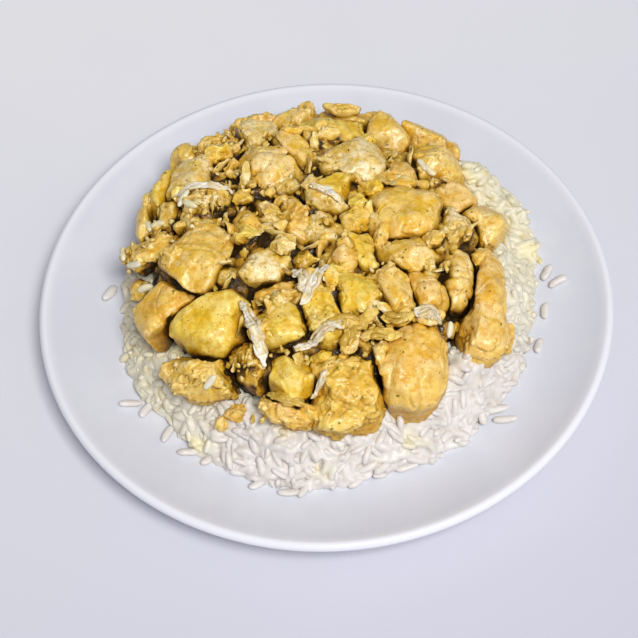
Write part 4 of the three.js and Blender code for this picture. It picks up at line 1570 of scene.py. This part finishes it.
class CURRY_OT_stage(bpy.types.Operator):
    """Makes the floor, the soft studio light and the camera"""
    bl_idname = "curry.stage"
    bl_label = "Stage"

    def execute(self, context):
        settings = context.scene.curry_stage
        self.floor(settings)
        self.lights(context.scene)
        self.camera(context.scene, settings)
        context.scene.view_settings.view_transform = "Standard"
        return {"FINISHED"}

    def floor(self, settings):
        reach = 3000
        mesh = mesh_from("floor", [
            (-reach, -reach, 0), (reach, -reach, 0), (reach, reach, 0), (-reach, reach, 0),
        ], [(0, 1, 2, 3)])
        mesh.materials.append(pale_table())
        new_object("floor", mesh)

    def lights(self, scene):
        world = bpy.data.worlds.new("soft_room")
        world.use_nodes = True
        tree = world.node_tree
        place = add_node(tree, "ShaderNodeTexCoord").outputs["Generated"]
        towards_window = add_node(tree, "ShaderNodeVectorMath", {
            0: place, 1: (0.36, -0.48, 0.80),
        }, operation="DOT_PRODUCT").outputs["Value"]
        ceiling = add_node(tree, "ShaderNodeMapRange", {
            "Value": towards_window, "From Min": -0.1, "From Max": 0.9, "To Min": 0.12, "To Max": 0.46,
        }).outputs["Result"]
        background = tree.nodes["Background"]
        background.inputs["Color"].default_value = linear("#eef0fd")
        tree.links.new(ceiling, background.inputs["Strength"])
        scene.world = world
        self.area("window", (260, -640, 1160), 420, 14.6, "#fffefc")

    def area(self, name, place, width, power, colour):
        """A square lamp aimed at the middle of the food; place and width in millimetres"""
        light = bpy.data.lights.new(name, "AREA")
        light.shape = "SQUARE"
        light.size = width * MM
        light.energy = power
        light.color = linear(colour)[:3]
        lamp = new_object(name, light)
        lamp.location = Vector(place) * MM
        aim = Vector((0, 0, 30)) * MM - lamp.location
        lamp.rotation_euler = aim.to_track_quat("-Z", "Y").to_euler()

    def camera(self, scene, settings):
        middle = Vector((0, 0, RIM_HEIGHT))
        back = Vector((0, -math.cos(settings.elevation), math.sin(settings.elevation)))
        eye = middle + back * (settings.distance / MM)
        looked_at = Vector((-3.1, -17.2, RIM_HEIGHT))
        forward = (looked_at - eye).normalized()
        right = forward.cross(Vector((0, 0, 1))).normalized()
        leaning = math.radians(3.12)
        roll = Matrix.Rotation(leaning, 3, forward)
        right = roll @ right
        up = right.cross(forward)
        turn = Matrix((right, up, -forward)).transposed().to_4x4()
        lens = bpy.data.cameras.new("camera")
        lens.sensor_width = 36.0
        lens.lens = 75.0
        lens.clip_start = 0.01
        camera = new_object("camera", lens)
        camera.matrix_world = Matrix.Translation(eye * MM) @ turn
        scene.camera = camera


class CURRY_PT_panel(bpy.types.Panel):
    """Lists the steps that dress the plate"""
    bl_idname = "CURRY_PT_panel"
    bl_label = "Chicken curry"
    bl_space_type = "VIEW_3D"
    bl_region_type = "UI"
    bl_category = "Curry"

    def draw(self, context):
        for operator in OPERATORS:
            self.layout.operator(operator.bl_idname)


SETTINGS = {
    "curry_chicken": ChickenSettings,
    "curry_rice": RiceSettings,
    "curry_stage": StageSettings,
}
OPERATORS = (
    CURRY_OT_stage, CURRY_OT_plate, CURRY_OT_rice, CURRY_OT_chicken, CURRY_OT_bed, CURRY_OT_fillers,
    CURRY_OT_small_pieces, CURRY_OT_shreds, CURRY_OT_loose_grains, CURRY_OT_painted_gap_shade,
)


def register():
    for cls in (*SETTINGS.values(), *OPERATORS, CURRY_PT_panel):
        bpy.utils.register_class(cls)
    for name, cls in SETTINGS.items():
        setattr(bpy.types.Scene, name, bpy.props.PointerProperty(type=cls))


def unregister():
    for name in SETTINGS:
        delattr(bpy.types.Scene, name)
    for cls in reversed((*SETTINGS.values(), *OPERATORS, CURRY_PT_panel)):
        bpy.utils.unregister_class(cls)


def main():
    register()
    bpy.ops.curry.stage()
    bpy.ops.curry.plate()
    bpy.ops.curry.rice()
    bpy.ops.curry.chicken()
    bpy.ops.curry.bed()
    bpy.ops.curry.fillers()
    bpy.ops.curry.small_pieces()
    bpy.ops.curry.shreds()
    bpy.ops.curry.loose_grains()
    bpy.ops.curry.pooled_sauce()


if __name__ == "__main__":
    main()
